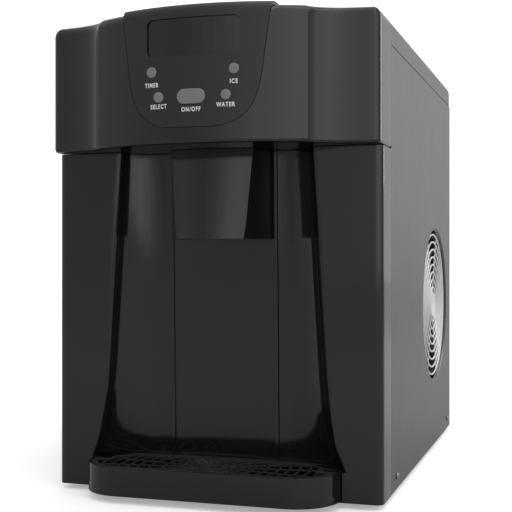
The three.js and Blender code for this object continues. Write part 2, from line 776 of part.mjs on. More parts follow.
/** Plan section of the spout housing at a height, with its wall taken off; it is open at the rear. */
function spoutOutline(z, inset) {
  const drop = (soffitZ - z) / spoutHeight;
  const bandZ = soffitZ - spoutHeight + spoutBandHeight;
  const upper = (soffitZ - z) / (soffitZ - bandZ);
  const lower = (bandZ - z) / spoutBandHeight;
  const width = z > bandZ
    ? THREE.MathUtils.lerp(spoutTopHalf, spoutBandHalf, upper)
    : THREE.MathUtils.lerp(spoutBandHalf, spoutFootHalf, lower);
  const reach = THREE.MathUtils.lerp(spoutTopReach, spoutFootReach, drop);
  const rear = bayBack(z) - ribProud - gap + (inset > 0 ? 5 : 0);
  const steps = 6;
  const right = [];
  for (let i = 0; i < steps; i++) {
    const share = i / steps;
    right.push([width * share, -reach - spoutBow * (1 - share * share)]);
  }
  right.push([width - 0.8, -reach - 1.2], [width + 0.6, -reach + 1.2]);
  right.push([spoutRearHalf, rear]);
  return offset(mirrored(right), inset);
}

function spoutHousing() {
  const bandZ = soffitZ - spoutHeight + spoutBandHeight;
  const mouthZ = soffitZ - spoutHeight;
  const levels = (low, high) => [low, bandZ, high];
  const at = (inset) => (z) => {
    const level = Math.min(Math.max(z, mouthZ), soffitZ);
    return spoutOutline(level, inset).map(([x, y]) => [x, y, z]);
  };
  const outside = loft(levels(mouthZ, soffitZ - gap).map(at(0)));
  const inside = loft(levels(mouthZ - 1, soffitZ + 1).map(at(spoutWall)));
  return outside.subtract(inside);
}

function iceChute() {
  const lower = box(-chuteHalf, chuteHalf, chuteFrontY, chuteRearY, chuteEndZ, soffitZ + shellWall + 4);
  const lowerHollow = box(-chuteHalf + chuteWall, chuteHalf - chuteWall, chuteFrontY + chuteWall,
    chuteRearY - chuteWall, chuteEndZ - 1, soffitZ + shellWall + 8);
  const hoodZ = soffitZ + shellWall + gap;
  const hoodTop = augerZ + augerRadius + 6;
  const hoodRear = linerFront - gap;
  const hood = box(-chuteHalf - 5, chuteHalf + 5, chuteFrontY - 9, hoodRear, hoodZ, hoodTop);
  const hoodHollow = box(-chuteHalf - 3, chuteHalf + 3, chuteFrontY - 7, hoodRear + 1, hoodZ + chuteWall,
    hoodTop - chuteWall);
  const ears = [-1, 1].map((side) => {
    const from = Math.min(side * (chuteHalf - chuteWall), side * chuteHalf);
    return box(from, from + chuteWall, chuteRearY - 3, flapPinY + 3, flapPinZ - 3, chuteEndZ + 4);
  });
  const pinHole = rod("x", [flapPinY, flapPinZ], flapPinRadius + 0.4, -half, half, 10);
  return cutBy(joined([lower, hood, ...ears]), [lowerHollow, hoodHollow, pinHole]);
}

function chuteFlap() {
  const w = chuteHalf - chuteWall - 0.8;
  const plate = box(-w, w, chuteFrontY + 1, flapPinY, flapPinZ - 1, flapPinZ + 1);
  const barrel = rod("x", [flapPinY, flapPinZ], 2.6, -w, w, 12);
  return cutBy(plate.add(barrel), [rod("x", [flapPinY, flapPinZ], flapPinRadius + 0.4, -half, half, 10)]);
}

function flapPin() {
  return rod("x", [flapPinY, flapPinZ], flapPinRadius, -chuteHalf - 1.5, chuteHalf + 1.5, 10);
}

function waterNozzle() {
  const from = soffitZ - spoutHeight + 6;
  const to = soffitZ + shellWall + 3;
  return ring("z", [nozzleX, nozzleY], nozzleRadius - 1.2, nozzleRadius, from, to, 12);
}

// ---------------------------------------------------------------- drip tray

const trayRearY = bayDepthFoot;

function dripTray() {
  const outside = prism("z", trayOutline(0, trayRearY), trayLift, trayTopZ);
  const basin = prism("z", trayOutline(trayWall, trayRearY - trayRearRim), trayLift + trayWall, trayTopZ + 1);
  const ledgeTop = trayTopZ - grilleThickness - 0.8;
  const opening = trayOutline(trayWall + grilleLedge, trayRearY - trayRearRim - grilleLedge);
  const ledge = prism("z", trayOutline(1, trayRearY - 1), ledgeTop - 2, ledgeTop)
    .subtract(prism("z", opening, 0, bodyHeight));
  return outside.subtract(basin).add(ledge);
}

function dripGrille() {
  const inset = trayWall + partGap;
  const from = trayTopZ - grilleThickness - 0.4;
  const to = from + grilleThickness;
  const rear = trayRearY - trayRearRim - partGap;
  const liftedBay = bayOutline(trayTopZ + grilleLift, -columnClearance, false);
  const clearOfColumns = prism("z", liftedBay, from - 1, to + 1);
  const aheadOfColumns = box(-half, half, -trayReach, -1.5, from - 1, to + 1);
  const plate = prism("z", trayOutline(inset, rear), from, to).intersect(clearOfColumns.add(aheadOfColumns));
  const centre = [0, -grilleCentreReach];
  const field = prism("z", trayOutline(inset + 5, rear - 5), from - 1, to + 1);
  const slots = [];
  for (let i = 0; i < grilleRings; i++) {
    const inner = grilleHub + grilleBar + i * (grillePitch + grilleBar);
    slots.push(ring("z", centre, inner, inner + grillePitch, from - 1, to + 1, 16).intersect(field));
  }
  const spokes = [];
  const spokeCount = 4;
  for (let i = 0; i < spokeCount; i++) {
    const bar = new THREE.BoxGeometry(4 * trayHalf, 3, grilleThickness);
    bar.rotateZ((i * Math.PI) / spokeCount + 0.3);
    bar.translate(centre[0], centre[1], (from + to) / 2);
    spokes.push(solid(bar).intersect(plate));
  }
  return joined([cutBy(plate, slots), ...spokes]);
}

// ---------------------------------------------------------------- ice compartment

function iceLiner() {
  const top = coverUnderZ - gap - 2.4;
  const outside = box(-linerHalf, linerHalf, linerFront, linerRear, linerZ, top);
  const side = linerHalf - sheetWall;
  const inside = box(-side, side, linerFront + sheetWall, linerRear - sheetWall, linerZ + sheetWall, top + 1);
  const outlet = rod("y", [0, augerZ], augerRadius + 3, linerFront - 1, linerFront + sheetWall + 1, 20);
  const drain = rod("z", [0, pivotY], 8, linerZ - 1, linerZ + sheetWall + 1, 12);
  const hingeRelief = box(-half, half, hingeY - 8, hingeY + 8, hingeZ - 8, top + 1);
  return cutBy(outside, [inside, outlet, drain, hingeRelief]);
}

/** Section of the hopper: upright sides, slopes and a round channel for the auger. */
function hopperSection(inset) {
  const channel = augerRadius + 3 + augerWall - inset;
  const w = linerHalf - sheetWall - hopperClear - inset;
  const topZ = coverUnderZ - 26;
  const arcPoints = arc([0, augerZ], channel, -90, -8, 5);
  return mirrored([...arcPoints, [w, augerZ + 26], [w, topZ + (inset > 0 ? 2 : 0)]]);
}

function iceHopper() {
  const outside = prism("y", hopperSection(0), hopperFront, hopperRear);
  const inside = prism("y", hopperSection(augerWall), hopperFront + augerWall, hopperRear - augerWall);
  const outlet = rod("y", [0, augerZ], augerRadius + 2, hopperFront - 1, hopperFront + augerWall + 1, 20);
  const shaftHole = rod("y", [0, augerZ], augerShaft + 0.8, hopperRear - augerWall - 1, hopperRear + 1, 12);
  return cutBy(outside, [inside, outlet, shaftHole]);
}

function auger() {
  const from = hopperFront - 8;
  const bladeFrom = hopperFront + 3;
  const bladeTo = hopperRear - augerWall - 4;
  const shaft = rod("y", [0, augerZ], augerShaft, from, hopperRear + 1, 12);
  const turns = (bladeTo - bladeFrom) / augerPitch;
  const steps = Math.round(turns * 9);
  const rings = [];
  for (let i = 0; i <= steps; i++) {
    const angle = (2 * Math.PI * turns * i) / steps;
    const y = bladeFrom + ((bladeTo - bladeFrom) * i) / steps;
    const point = (r, dy) => [r * Math.cos(angle), y + dy, augerZ + r * Math.sin(angle)];
    const inner = augerShaft - 1.5;
    rings.push([point(inner, -1.2), point(augerRadius, -1.2), point(augerRadius, 1.2), point(inner, 1.2)]);
  }
  return shaft.add(loft(rings));
}

function augerMotor() {
  const front = hopperRear + 1.6;
  const can = rod("y", [0, augerZ], 19, front, front + 15, 20);
  const housing = box(-30, 30, front, front + 9, augerZ - 19, augerZ + 19);
  return can.add(housing);
}

function evaporator() {
  const plateZ = troughTopZ + 6;
  const rowY = troughFrontY + 15;
  const width = fingerPitch * (fingerCount - 1) + 14;
  const plate = box(-width / 2, width / 2, rowY - 13, rowY + 13, plateZ, plateZ + 6);
  const fingers = [];
  for (let i = 0; i < fingerCount; i++) {
    const x = (i - (fingerCount - 1) / 2) * fingerPitch;
    const tip = troughTopZ - 11;
    fingers.push(turned("z", [x, rowY], [[0, tip], [fingerRadius - 1.2, tip + 0.6], [fingerRadius, tip + 3],
      [fingerRadius, plateZ + 1], [0, plateZ + 1]], 8));
  }
  return joined([plate, ...fingers]);
}

function waterTrough() {
  const wall = 1.6;
  const rear = troughFrontY + troughDepth;
  const floor = troughTopZ - troughHeight;
  const outside = box(-troughHalf, troughHalf, troughFrontY, rear, floor, troughTopZ);
  const inside = box(-troughHalf + wall, troughHalf - wall, troughFrontY + wall, rear - wall, floor + wall,
    troughTopZ + 1);
  const arms = [-1, 1].flatMap((side) => {
    const near = Math.min(side * troughHalf, side * (troughHalf - wall));
    const arm = prism("x", [[rear - 12, troughTopZ - 4], [rear - 1, troughTopZ - 8], [pivotY + 4, pivotZ - 2],
      [pivotY + 1, pivotZ + 4], [pivotY - 5, pivotZ + 2]], near, near + wall);
    const from = Math.min(side * (troughHalf - wall), side * (troughHalf + 7));
    return [arm, rod("x", [pivotY, pivotZ], 3, from, from + 7 + wall, 12)];
  });
  return joined([outside.subtract(inside), ...arms]);
}

function troughMotor() {
  const from = troughHalf + 8;
  const body = rod("x", [pivotY, pivotZ], 11, from, from + 24, 16);
  return body.add(box(from + 2, from + 22, pivotY - 11, pivotY + 11, pivotZ - 26, pivotZ));
}

// ---------------------------------------------------------------- water side

function waterTank() {
  const front = lidFront;
  const rear = partitionY - 4;
  const top = deckZ - 12;
  const w = lidHalf + 6;
  const outside = box(-w, w, front, rear, tankFloor, top);
  const side = w - augerWall;
  const inside = box(-side, side, front + augerWall, rear - augerWall, tankFloor + augerWall, top + 1);
  const spigot = ring("z", [pumpX, pumpY], 3, 5, tankFloor - 14, tankFloor + 1, 12);
  const spigotBore = rod("z", [pumpX, pumpY], 3, tankFloor - 20, tankFloor + augerWall + 1, 12);
  return outside.subtract(inside).add(spigot).subtract(spigotBore);
}

const pumpX = 60;
const pumpY = 108;
const pumpRadius = 20;

function waterPump() {
  const body = rod("z", [pumpX, pumpY], pumpRadius, sheetWall + gap, 52, 20);
  const inlet = rod("z", [pumpX, pumpY], 5, 40, tankFloor - 14 - gap, 12);
  const outlet = rod("y", [pumpX, 40], hoseRadius + 1, pumpY - pumpRadius - 14, pumpY, 12);
  return joined([body, inlet, outlet]);
}

function waterHose() {
  const start = pumpY - pumpRadius - 14 - gap;
  const channelY = (frontShellDepth + linerFront) / 2;
  return tube([
    [pumpX, start, 40],
    [pumpX, start - 7, 40],
    [pumpX, channelY + 7, 46],
    [pumpX, channelY + 1, 70],
    [pumpX, channelY, soffitZ / 2],
    [pumpX, channelY, soffitZ - 20],
    [pumpX, channelY, soffitZ + 8],
    [pumpX - 6, channelY - 8, soffitZ + 22],
    [nozzleX + 8, nozzleY + 10, soffitZ + 24],
    [nozzleX, nozzleY, soffitZ + 20],
    [nozzleX, nozzleY, soffitZ + shellWall + 3 + gap],
  ], hoseRadius, 26);
}

function drainOutlet() {
  const at = [drainX, drainZ];
  const bore = drainRadius - drainWall;
  const barrel = ring("y", at, bore, drainRadius, rearSheetY - 26, bodyDepth + drainProud, 16);
  const flange = ring("y", at, bore, drainRadius + 4, rearSheetY - 3, rearSheetY - gap, 16);
  return barrel.add(flange);
}

function drainCap() {
  const from = bodyDepth + drainProud + gap;
  const to = from + drainCapThickness;
  const plugRadius = drainRadius - drainWall - gap;
  return turned("y", [drainX, drainZ], [[0, from - 12], [plugRadius, from - 12], [plugRadius, from],
    [drainRadius + 2, from], [drainRadius + 2, to - 1], [drainRadius, to], [0, to]], 16);
}

// ---------------------------------------------------------------- cooling side

const compressorX = -half + 78;
const compressorY = fanY + 12;
const compressorZ = 22;
const mountRadius = 64;
const mountAngles = [90, 210, 330];

function compressorMounts() {
  return mountAngles.map((degrees) => {
    const angle = THREE.MathUtils.degToRad(degrees);
    return [compressorX + mountRadius * Math.cos(angle), compressorY + mountRadius * Math.sin(angle)];
  });
}

function compressor() {
  const top = compressorZ + compressorHeight;
  const r = compressorRadius;
  const can = turned("z", [compressorX, compressorY], [[0, compressorZ - 4], [r * 0.7, compressorZ - 4],
    [r, compressorZ + 14], [r, compressorZ + 70], [r + 2, compressorZ + 70], [r + 2, compressorZ + 76],
    [r, compressorZ + 76], [r, top - 30], [r * 0.86, top - 12], [r * 0.5, top - 1], [0, top]]);
  const legs = compressorMounts().map(([x, y]) => {
    const leg = new THREE.BoxGeometry(mountRadius, 22, 3);
    leg.translate(mountRadius / 2 + 4, 0, 0);
    leg.rotateZ(Math.atan2(y - compressorY, x - compressorX));
    leg.translate(compressorX, compressorY, compressorZ - 2.5);
    return solid(leg);
  });
  const terminalBox = box(compressorX - 18, compressorX + 18, compressorY - r - 16, compressorY - r + 8,
    compressorZ + 30, compressorZ + 66);
  return joined([can, ...legs, terminalBox]);
}

function grommet([x, y]) {
  const to = compressorZ - 4 - gap;
  const from = sheetWall + gap;
  return turned("z", [x, y], [[0, from], [9, from], [7, (sheetWall + to) / 2], [9, to], [0, to]], 12);
}

const shroudOuterX = half - sheetWall - gap - guardDepth - gap;
const shroudInnerX = shroudOuterX - shroudDepth;
const shroudRadius = fanRadius - fanRim - 6;

function fanGuard() {
  const outer = half - sheetWall - gap;
  const inner = outer - guardDepth;
  const centre = [fanY, fanHeight];
  const outerRadius = fanRadius + 4;
  const frame = ring("x", centre, fanRadius - fanRim - guardBar, outerRadius, inner, outer, 24);
  const pitch = (fanRadius - fanRim - guardBar / 2 - guardHub) / guardRings;
  const rings = [];
  for (let i = 1; i < guardRings; i++) {
    const middle = guardHub + i * pitch;
    rings.push(ring("x", centre, middle - guardBar / 2, middle + guardBar / 2, inner + 0.8, outer, 16));
  }
  const hub = rod("x", centre, guardHub, inner + 0.8, outer, 16);
  const spokes = [];
  const spokeCount = 4;
  for (let i = 0; i < spokeCount; i++) {
    const bar = new THREE.BoxGeometry(guardDepth - 1, 2 * fanRadius, 3);
    bar.rotateX((i * Math.PI) / spokeCount + 0.4);
    bar.translate((inner + outer) / 2 - 0.5, fanY, fanHeight);
    spokes.push(solid(bar));
  }
  return joined([frame, hub, ...rings, ...spokes]);
}

function fanShroud() {
  const centre = [fanY, fanHeight];
  const barrel = ring("x", centre, shroudRadius, shroudRadius + shroudWall, shroudInnerX, shroudOuterX, 32);
  const strutX = shroudInnerX;
  const strutCount = 3;
  const struts = [];
  for (let i = 0; i < strutCount; i++) {
    const bar = new THREE.BoxGeometry(4, shroudRadius - fanHubRadius + 4, 6);
    bar.translate(0, (shroudRadius + fanHubRadius) / 2, 0);
    bar.rotateX((2 * i * Math.PI) / strutCount);
    bar.translate(strutX + 2, fanY, fanHeight);
    struts.push(solid(bar));
  }
  const collar = ring("x", centre, fanHubRadius, fanHubRadius + 4, strutX, strutX + 4, 20);
  return joined([barrel, collar, ...struts]);
}

function fanBlade() {
  const from = shroudInnerX + 8;
  const to = shroudOuterX - 3;
  const hub = rod("x", [fanY, fanHeight], fanHubRadius, from, to, 20);
  const span = shroudRadius - fanTipGap - fanHubRadius;
  const blades = [];
  for (let i = 0; i < fanBladeCount; i++) {
    const blade = new THREE.BoxGeometry(1.6, span + 4, fanBladeChord, 1, 2, 1);
    blade.rotateY(THREE.MathUtils.degToRad(66));
    blade.scale((to - from - 1) / (fanBladeChord * Math.sin(THREE.MathUtils.degToRad(66)) + 1.6), 1, 1);
    blade.translate(0, fanHubRadius + span / 2 - 2, 0);
    blade.rotateX((2 * i * Math.PI) / fanBladeCount);
    blade.translate((from + to) / 2, fanY, fanHeight);
    blades.push(solid(blade));
  }
  const bore = rod("x", [fanY, fanHeight], 2.6, from - 1, to - 6, 10);
  return joined([hub, ...blades]).subtract(bore);
}

function fanMotor() {
  const to = shroudInnerX + 6;
  const can = rod("x", [fanY, fanHeight], fanHubRadius - 2, to - 26, to, 20);
  const shaft = rod("x", [fanY, fanHeight], 2, to - 2, shroudOuterX - 10, 10);
  return can.add(shaft);
}

const condenserOuterX = shroudInnerX - 20 - gap - 4;
const condenserDepth = 24;

function condenser() {
  const reach = shroudRadius;
  const inner = condenserOuterX - condenserDepth;
  const block = box(inner, condenserOuterX, fanY - reach, fanY + reach, fanHeight - reach, fanHeight + reach);
  const slots = [];
  const slotCount = 15;
  const pitch = (2 * reach - 10) / slotCount;
  for (let i = 0; i < slotCount; i++) {
    const y = fanY - reach + 5 + (i + 0.5) * pitch;
    slots.push(box(inner - 1, condenserOuterX + 1, y - pitch * 0.4, y + pitch * 0.4, fanHeight - reach + 9,
      fanHeight + reach - 9));
  }
  return cutBy(block, slots);
}

function dischargePipe() {
  const r = 3;
  const top = compressorZ + compressorHeight;
  const headerX = condenserOuterX - condenserDepth / 2;
  const headerZ = fanHeight + shroudRadius + gap;
  return tube([
    [compressorX + compressorRadius * 0.4, compressorY + 8, top + 3],
    [compressorX + compressorRadius * 0.4, compressorY + 8, top + 40],
    [compressorX + compressorRadius, compressorY + 4, headerZ + 26],
    [headerX - 20, fanY + 4, headerZ + 30],
    [headerX, fanY, headerZ + 18],
    [headerX, fanY, headerZ],
  ], r, 24);
}

function partition() {
  const side = innerHalf - sheetWall - gap;
  return box(-side, side, partitionY - 1, partitionY + 1, sheetWall + gap, deckZ - sheetWall - gap);
}

function deckPlate() {
  const plate = box(-innerHalf, innerHalf, linerFront, rearSheetY - gap, deckZ - sheetWall, deckZ);
  return plate.subtract(rod("z", [0, pivotY], 8, deckZ - 5, deckZ + 5, 12));
}

function powerBoard() {
  const front = linerRear + 12;
  const rear = rearSheetY - 14;
  const base = deckZ + 8;
  const board = box(-58, 58, front, rear, base, base + 1.8);
  const transformer = box(-46, -14, front + 10, rear - 12, base + 1, base + 32);
  const relay = box(6, 26, front + 10, front + 26, base + 1, base + 18);
  const capacitor = rod("z", [42, (front + rear) / 2], 9, base + 1, base + 28, 14);
  const legs = [[-54, front + 4], [54, front + 4], [-54, rear - 4], [54, rear - 4]]
    .map(([x, y]) => rod("z", [x, y], 2.5, deckZ + gap, base + 1, 8));
  return joined([board, transformer, relay, capacitor, ...legs]);
}

function powerInlet() {
  const front = rearSheetY - 22;
  const body = box(inletX - 14, inletX + 14, front, bodyDepth - 0.2, inletZ - 10, inletZ + 10);
  const flange = box(inletX - 18, inletX + 18, rearSheetY - 3, rearSheetY - gap, inletZ - 13, inletZ + 13);
  const well = box(inletX - 12, inletX + 12, front + 6, bodyDepth + 1, inletZ - 8, inletZ + 8);
  const pins = [-6, 0, 6].map((dx) => box(inletX + dx - 1, inletX + dx + 1, front + 4, bodyDepth - 4,
    inletZ - 3, inletZ + 3));
  return joined([body.add(flange).subtract(well), ...pins]);
}

// ---------------------------------------------------------------- the assembly

const gloss = { color: 0x0b0b0c, roughness: 0.22, metalness: 0 };
const matteBlack = { color: 0x101011, roughness: 0.5, metalness: 0 };
const sheetBlack = { color: 0x1b1b1c, roughness: 0.42, metalness: 0.1 };
const keyGrey = { color: 0x77787a, roughness: 0.5, metalness: 0 };
const smokedClear = { color: 0x17181a, roughness: 0.08, metalness: 0, transparent: true, opacity: 0.6 };
const guardSilver = { color: 0xdfe1e3, roughness: 0.35, metalness: 0.2 };
const whitePlastic = { color: 0xe6e8ea, roughness: 0.5, metalness: 0 };
const greyPlastic = { color: 0x8c8f93, roughness: 0.5, metalness: 0 };
const steel = { color: 0xb4b7ba, roughness: 0.3, metalness: 1 };
const copper = { color: 0xb87047, roughness: 0.35, metalness: 1 };
const aluminium = { color: 0xc3c6c9, roughness: 0.4, metalness: 1 };
const boardGreen = { color: 0x1d5a34, roughness: 0.6, metalness: 0 };
const rubber = { color: 0x1a1a1a, roughness: 0.85, metalness: 0 };

const machine = new THREE.Group();

function place(name, body, finish) {
  const mesh = new THREE.Mesh(geometryOf(body), new THREE.MeshStandardMaterial(finish));
  mesh.name = name;
  machine.add(mesh);
}

place("front_fascia", frontFascia(), gloss);
place("head_cover", headCover(), gloss);
place("control_panel", controlPanel(), matteBlack);
place("display_window", displayWindow(), smokedClear);
place("display_module", displayModule(), matteBlack);
place("control_board", controlBoard(), boardGreen);
for (const [name, at] of Object.entries(roundKeys)) place(name, roundKey(at), keyGrey);
place("power_button", powerKey(), keyGrey);
place("spout_housing", spoutHousing(), gloss);
place("ice_chute", iceChute(), matteBlack);
place("chute_flap", chuteFlap(), matteBlack);
place("flap_pin", flapPin(), steel);
place("water_nozzle", waterNozzle(), steel);
place("drip_tray", dripTray(), gloss);
place("drip_grille", dripGrille(), gloss);
place("right_side_panel", sidePanel(1), sheetBlack);
place("left_side_panel", sidePanel(-1), sheetBlack);
place("rear_panel", rearPanel(), sheetBlack);
place("base_pan", basePan(), sheetBlack);
place("top_cover", topCover(), sheetBlack);
place("lid_frame", lidFrame(), gloss);
place("lid_window", lidWindow(), smokedClear);
place("hinge_pin_left", hingePin(-1), steel);
place("hinge_pin_right", hingePin(1), steel);
const footNames = ["foot_front_left", "foot_front_right", "foot_rear_left", "foot_rear_right"];
footPlaces.forEach((at, i) => place(footNames[i], foot(at), rubber));
place("ice_liner", iceLiner(), whitePlastic);
place("ice_hopper", iceHopper(), greyPlastic);
place("auger", auger(), greyPlastic);
place("auger_motor", augerMotor(), matteBlack);
place("evaporator", evaporator(), steel);
place("water_trough", waterTrough(), whitePlastic);
place("trough_motor", troughMotor(), matteBlack);
place("water_tank", waterTank(), whitePlastic);
place("water_pump", waterPump(), matteBlack);
place("water_hose", waterHose(), whitePlastic);
place("drain_outlet", drainOutlet(), matteBlack);
place("drain_cap", drainCap(), rubber);
place("compressor", compressor(), matteBlack);
compressorMounts().forEach((at, i) => place(`compressor_grommet_${i + 1}`, grommet(at), rubber));
place("condenser", condenser(), aluminium);
place("discharge_pipe", dischargePipe(), copper);
place("fan_guard", fanGuard(), guardSilver);
place("fan_shroud", fanShroud(), matteBlack);
place("fan_blade", fanBlade(), matteBlack);
place("fan_motor", fanMotor(), steel);
place("partition", partition(), aluminium);
place("deck_plate", deckPlate(), aluminium);
place("power_board", powerBoard(), boardGreen);
place("power_inlet", powerInlet(), matteBlack);

const foremostReach = bulgeReach + buttonProud;
const rearmostY = bodyDepth + drainProud + gap + drainCapThickness;
machine.position.set(0, (foremostReach - rearmostY) / 2, footHeight);

const iceMaker = new THREE.Group();
iceMaker.add(machine);

export default iceMaker;
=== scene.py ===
# Looks of a countertop ice maker with a dispensing bay: finishes, fine pieces, light and camera.
# Lengths are in metres. The worktop is z = 0, the front faces -Y, and x = 0 is the middle of the machine.
import bpy
import json
import math
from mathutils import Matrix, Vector

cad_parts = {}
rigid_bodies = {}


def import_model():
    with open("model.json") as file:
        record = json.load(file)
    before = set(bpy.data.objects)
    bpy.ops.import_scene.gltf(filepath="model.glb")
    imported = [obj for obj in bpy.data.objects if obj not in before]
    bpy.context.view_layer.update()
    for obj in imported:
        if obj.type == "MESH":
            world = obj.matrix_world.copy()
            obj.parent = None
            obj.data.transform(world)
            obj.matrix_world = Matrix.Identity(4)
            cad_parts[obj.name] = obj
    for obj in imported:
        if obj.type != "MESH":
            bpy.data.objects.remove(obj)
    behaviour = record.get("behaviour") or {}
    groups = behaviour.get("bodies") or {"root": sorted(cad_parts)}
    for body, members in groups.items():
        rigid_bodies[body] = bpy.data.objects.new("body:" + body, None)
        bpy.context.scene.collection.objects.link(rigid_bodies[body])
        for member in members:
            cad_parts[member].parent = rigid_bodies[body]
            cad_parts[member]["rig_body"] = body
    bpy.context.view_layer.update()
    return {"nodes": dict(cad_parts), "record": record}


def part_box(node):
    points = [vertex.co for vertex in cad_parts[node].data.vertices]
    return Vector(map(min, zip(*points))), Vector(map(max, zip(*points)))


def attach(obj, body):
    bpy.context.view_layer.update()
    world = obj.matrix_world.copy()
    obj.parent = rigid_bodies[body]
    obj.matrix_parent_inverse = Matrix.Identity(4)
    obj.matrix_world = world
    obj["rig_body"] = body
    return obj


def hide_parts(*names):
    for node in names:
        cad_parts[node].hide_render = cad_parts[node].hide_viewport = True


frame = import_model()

nodes = frame["nodes"]
slot_of_node = {part["node"]: part["material_slot"] for part in frame["record"]["subparts"]}

MM = 0.001
FRONT_SHELL_DEPTH = 35.5 * MM
COLUMN_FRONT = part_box("front_fascia")[1].y - FRONT_SHELL_DEPTH  # front plane of the columns beside the bay
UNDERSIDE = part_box("base_pan")[0].z


def body_of(node):
    return nodes[node]["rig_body"]


# ------------------------------------------------------------------ working by hand

def clear_hands():
    """Object mode with nothing selected."""
    if bpy.context.object is not None and bpy.context.object.mode != "OBJECT":
        bpy.ops.object.mode_set(mode="OBJECT")
    bpy.ops.object.select_all(action="DESELECT")


def take(*pieces):
    """Selects these pieces alone, the first of them active."""
    clear_hands()
    for piece in pieces:
        piece.select_set(True)
    bpy.context.view_layer.objects.active = pieces[0]


def choose_faces(piece, wanted):
    """Into edit mode with the faces selected whose centre and normal pass the test."""
    take(piece)
    bpy.ops.object.mode_set(mode="EDIT")
    bpy.ops.mesh.select_mode(type="FACE")
    bpy.ops.mesh.select_all(action="DESELECT")
    bpy.ops.object.mode_set(mode="OBJECT")
    for face in piece.data.polygons:
        face.select = bool(wanted(piece.matrix_world @ face.center, face.normal))
    bpy.ops.object.mode_set(mode="EDIT")


def choose_edges(piece, wanted):
    """Into edit mode with the edges selected whose middle and direction pass the test."""
    take(piece)
    bpy.ops.object.mode_set(mode="EDIT")
    bpy.ops.mesh.select_mode(type="EDGE")
    bpy.ops.mesh.select_all(action="DESELECT")
    bpy.ops.object.mode_set(mode="OBJECT")
    points = [piece.matrix_world @ v.co for v in piece.data.vertices]
    for edge in piece.data.edges:
        a, b = points[edge.vertices[0]], points[edge.vertices[1]]
        edge.select = bool(wanted((a + b) / 2, (b - a).normalized()))
    bpy.ops.object.mode_set(mode="EDIT")


def apply_modifier(piece, kind, **settings):
    take(piece)
    modifier = piece.modifiers.new("work", kind)
    for key, value in settings.items():
        setattr(modifier, key, value)
    bpy.ops.object.modifier_apply(modifier=modifier.name)


def round_edges(piece, width, segments, angle=40):
    """Rounds the edges that turn by more than the angle, in degrees."""
    apply_modifier(piece, "BEVEL", width=width, segments=segments, limit_method="ANGLE",
                   angle_limit=math.radians(angle))


def cut_with(piece, tool, operation, keep=False):
    """Cuts a piece with another, which is thrown away unless it is kept."""
    apply_modifier(piece, "BOOLEAN", operation=operation, object=tool, solver="EXACT")
    if not keep:
        bpy.data.objects.remove(tool, do_unlink=True)


def put_in_place(piece):
    """Moves the piece's place, turn and scale into its mesh."""
    take(piece)
    bpy.ops.object.transform_apply(location=True, rotation=True, scale=True)


def join(pieces):
    take(*pieces)
    bpy.ops.object.join()
    return bpy.context.object


def settle(piece, name, body, finish, smooth=30):
    """Names a piece, gives it its finish and hangs it on its body. Edges under the angle are smooth."""
    put_in_place(piece)
    if smooth:
        bpy.ops.object.shade_smooth_by_angle(angle=math.radians(smooth))
    piece.name = name
    piece.data.name = name
    piece.data.materials.clear()
    piece.data.materials.append(finish)
    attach(piece, body)
    clear_hands()


WELD = 0.01 * MM  # points closer than this are one point
FLATNESS = math.radians(0.3)  # faces that turn by less than this are one face


def skin_of(node, edge):
    """A copy of a CAD piece with its edges rounded, shown in its place."""
    take(nodes[node])
    bpy.ops.object.duplicate()
    piece = bpy.context.object
    piece.parent = None
    for key in list(piece.keys()):
        del piece[key]
    bpy.ops.object.mode_set(mode="EDIT")
    bpy.ops.mesh.select_all(action="SELECT")
    bpy.ops.mesh.remove_doubles(threshold=WELD)
    bpy.ops.mesh.dissolve_limited(angle_limit=FLATNESS)
    bpy.ops.object.mode_set(mode="OBJECT")
    round_edges(piece, edge, 2, 30)
    slot = slot_of_node[node]
    settle(piece, node + "_skin", body_of(node), finish_of_slot[slot])
    apply_modifier(piece, "WEIGHTED_NORMAL", keep_sharp=True, weight=50)
    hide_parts(node)


# ------------------------------------------------------------------ shared effects

def new_group(name, inputs, outputs):
    """An empty node group with its sockets, and its two end nodes."""
    group = bpy.data.node_groups.new(name, "ShaderNodeTree")
    for label, kind, value in inputs:
        socket = group.interface.new_socket(name=label, in_out="INPUT", socket_type=kind)
        if value is not None:
            socket.default_value = value
    for label, kind in outputs:
        group.interface.new_socket(name=label, in_out="OUTPUT", socket_type=kind)
    return group, group.nodes.new("NodeGroupInput"), group.nodes.new("NodeGroupOutput")


def math_node(tree, operation, first, second=None):
    node = tree.nodes.new("ShaderNodeMath")
    node.operation = operation
    for socket, value in zip(node.inputs, (first, second)):
        if value is None:
            continue
        if isinstance(value, (int, float)):
            socket.default_value = value
        else:
            tree.links.new(value, socket)
    return node.outputs[0]


def noise_node(tree, vector, scale, detail=3.0, roughness=0.5, distortion=0.0):
    node = tree.nodes.new("ShaderNodeTexNoise")
    node.inputs["Detail"].default_value = detail
    node.inputs["Roughness"].default_value = roughness
    node.inputs["Distortion"].default_value = distortion
    tree.links.new(vector, node.inputs["Vector"])
    if isinstance(scale, (int, float)):
        node.inputs["Scale"].default_value = scale
    else:
        tree.links.new(scale, node.inputs["Scale"])
    return node.outputs["Fac"]


def stretched(tree, vector, scale):
    node = tree.nodes.new("ShaderNodeMapping")
    node.inputs["Scale"].default_value = scale
    tree.links.new(vector, node.inputs["Vector"])
    return node.outputs["Vector"]


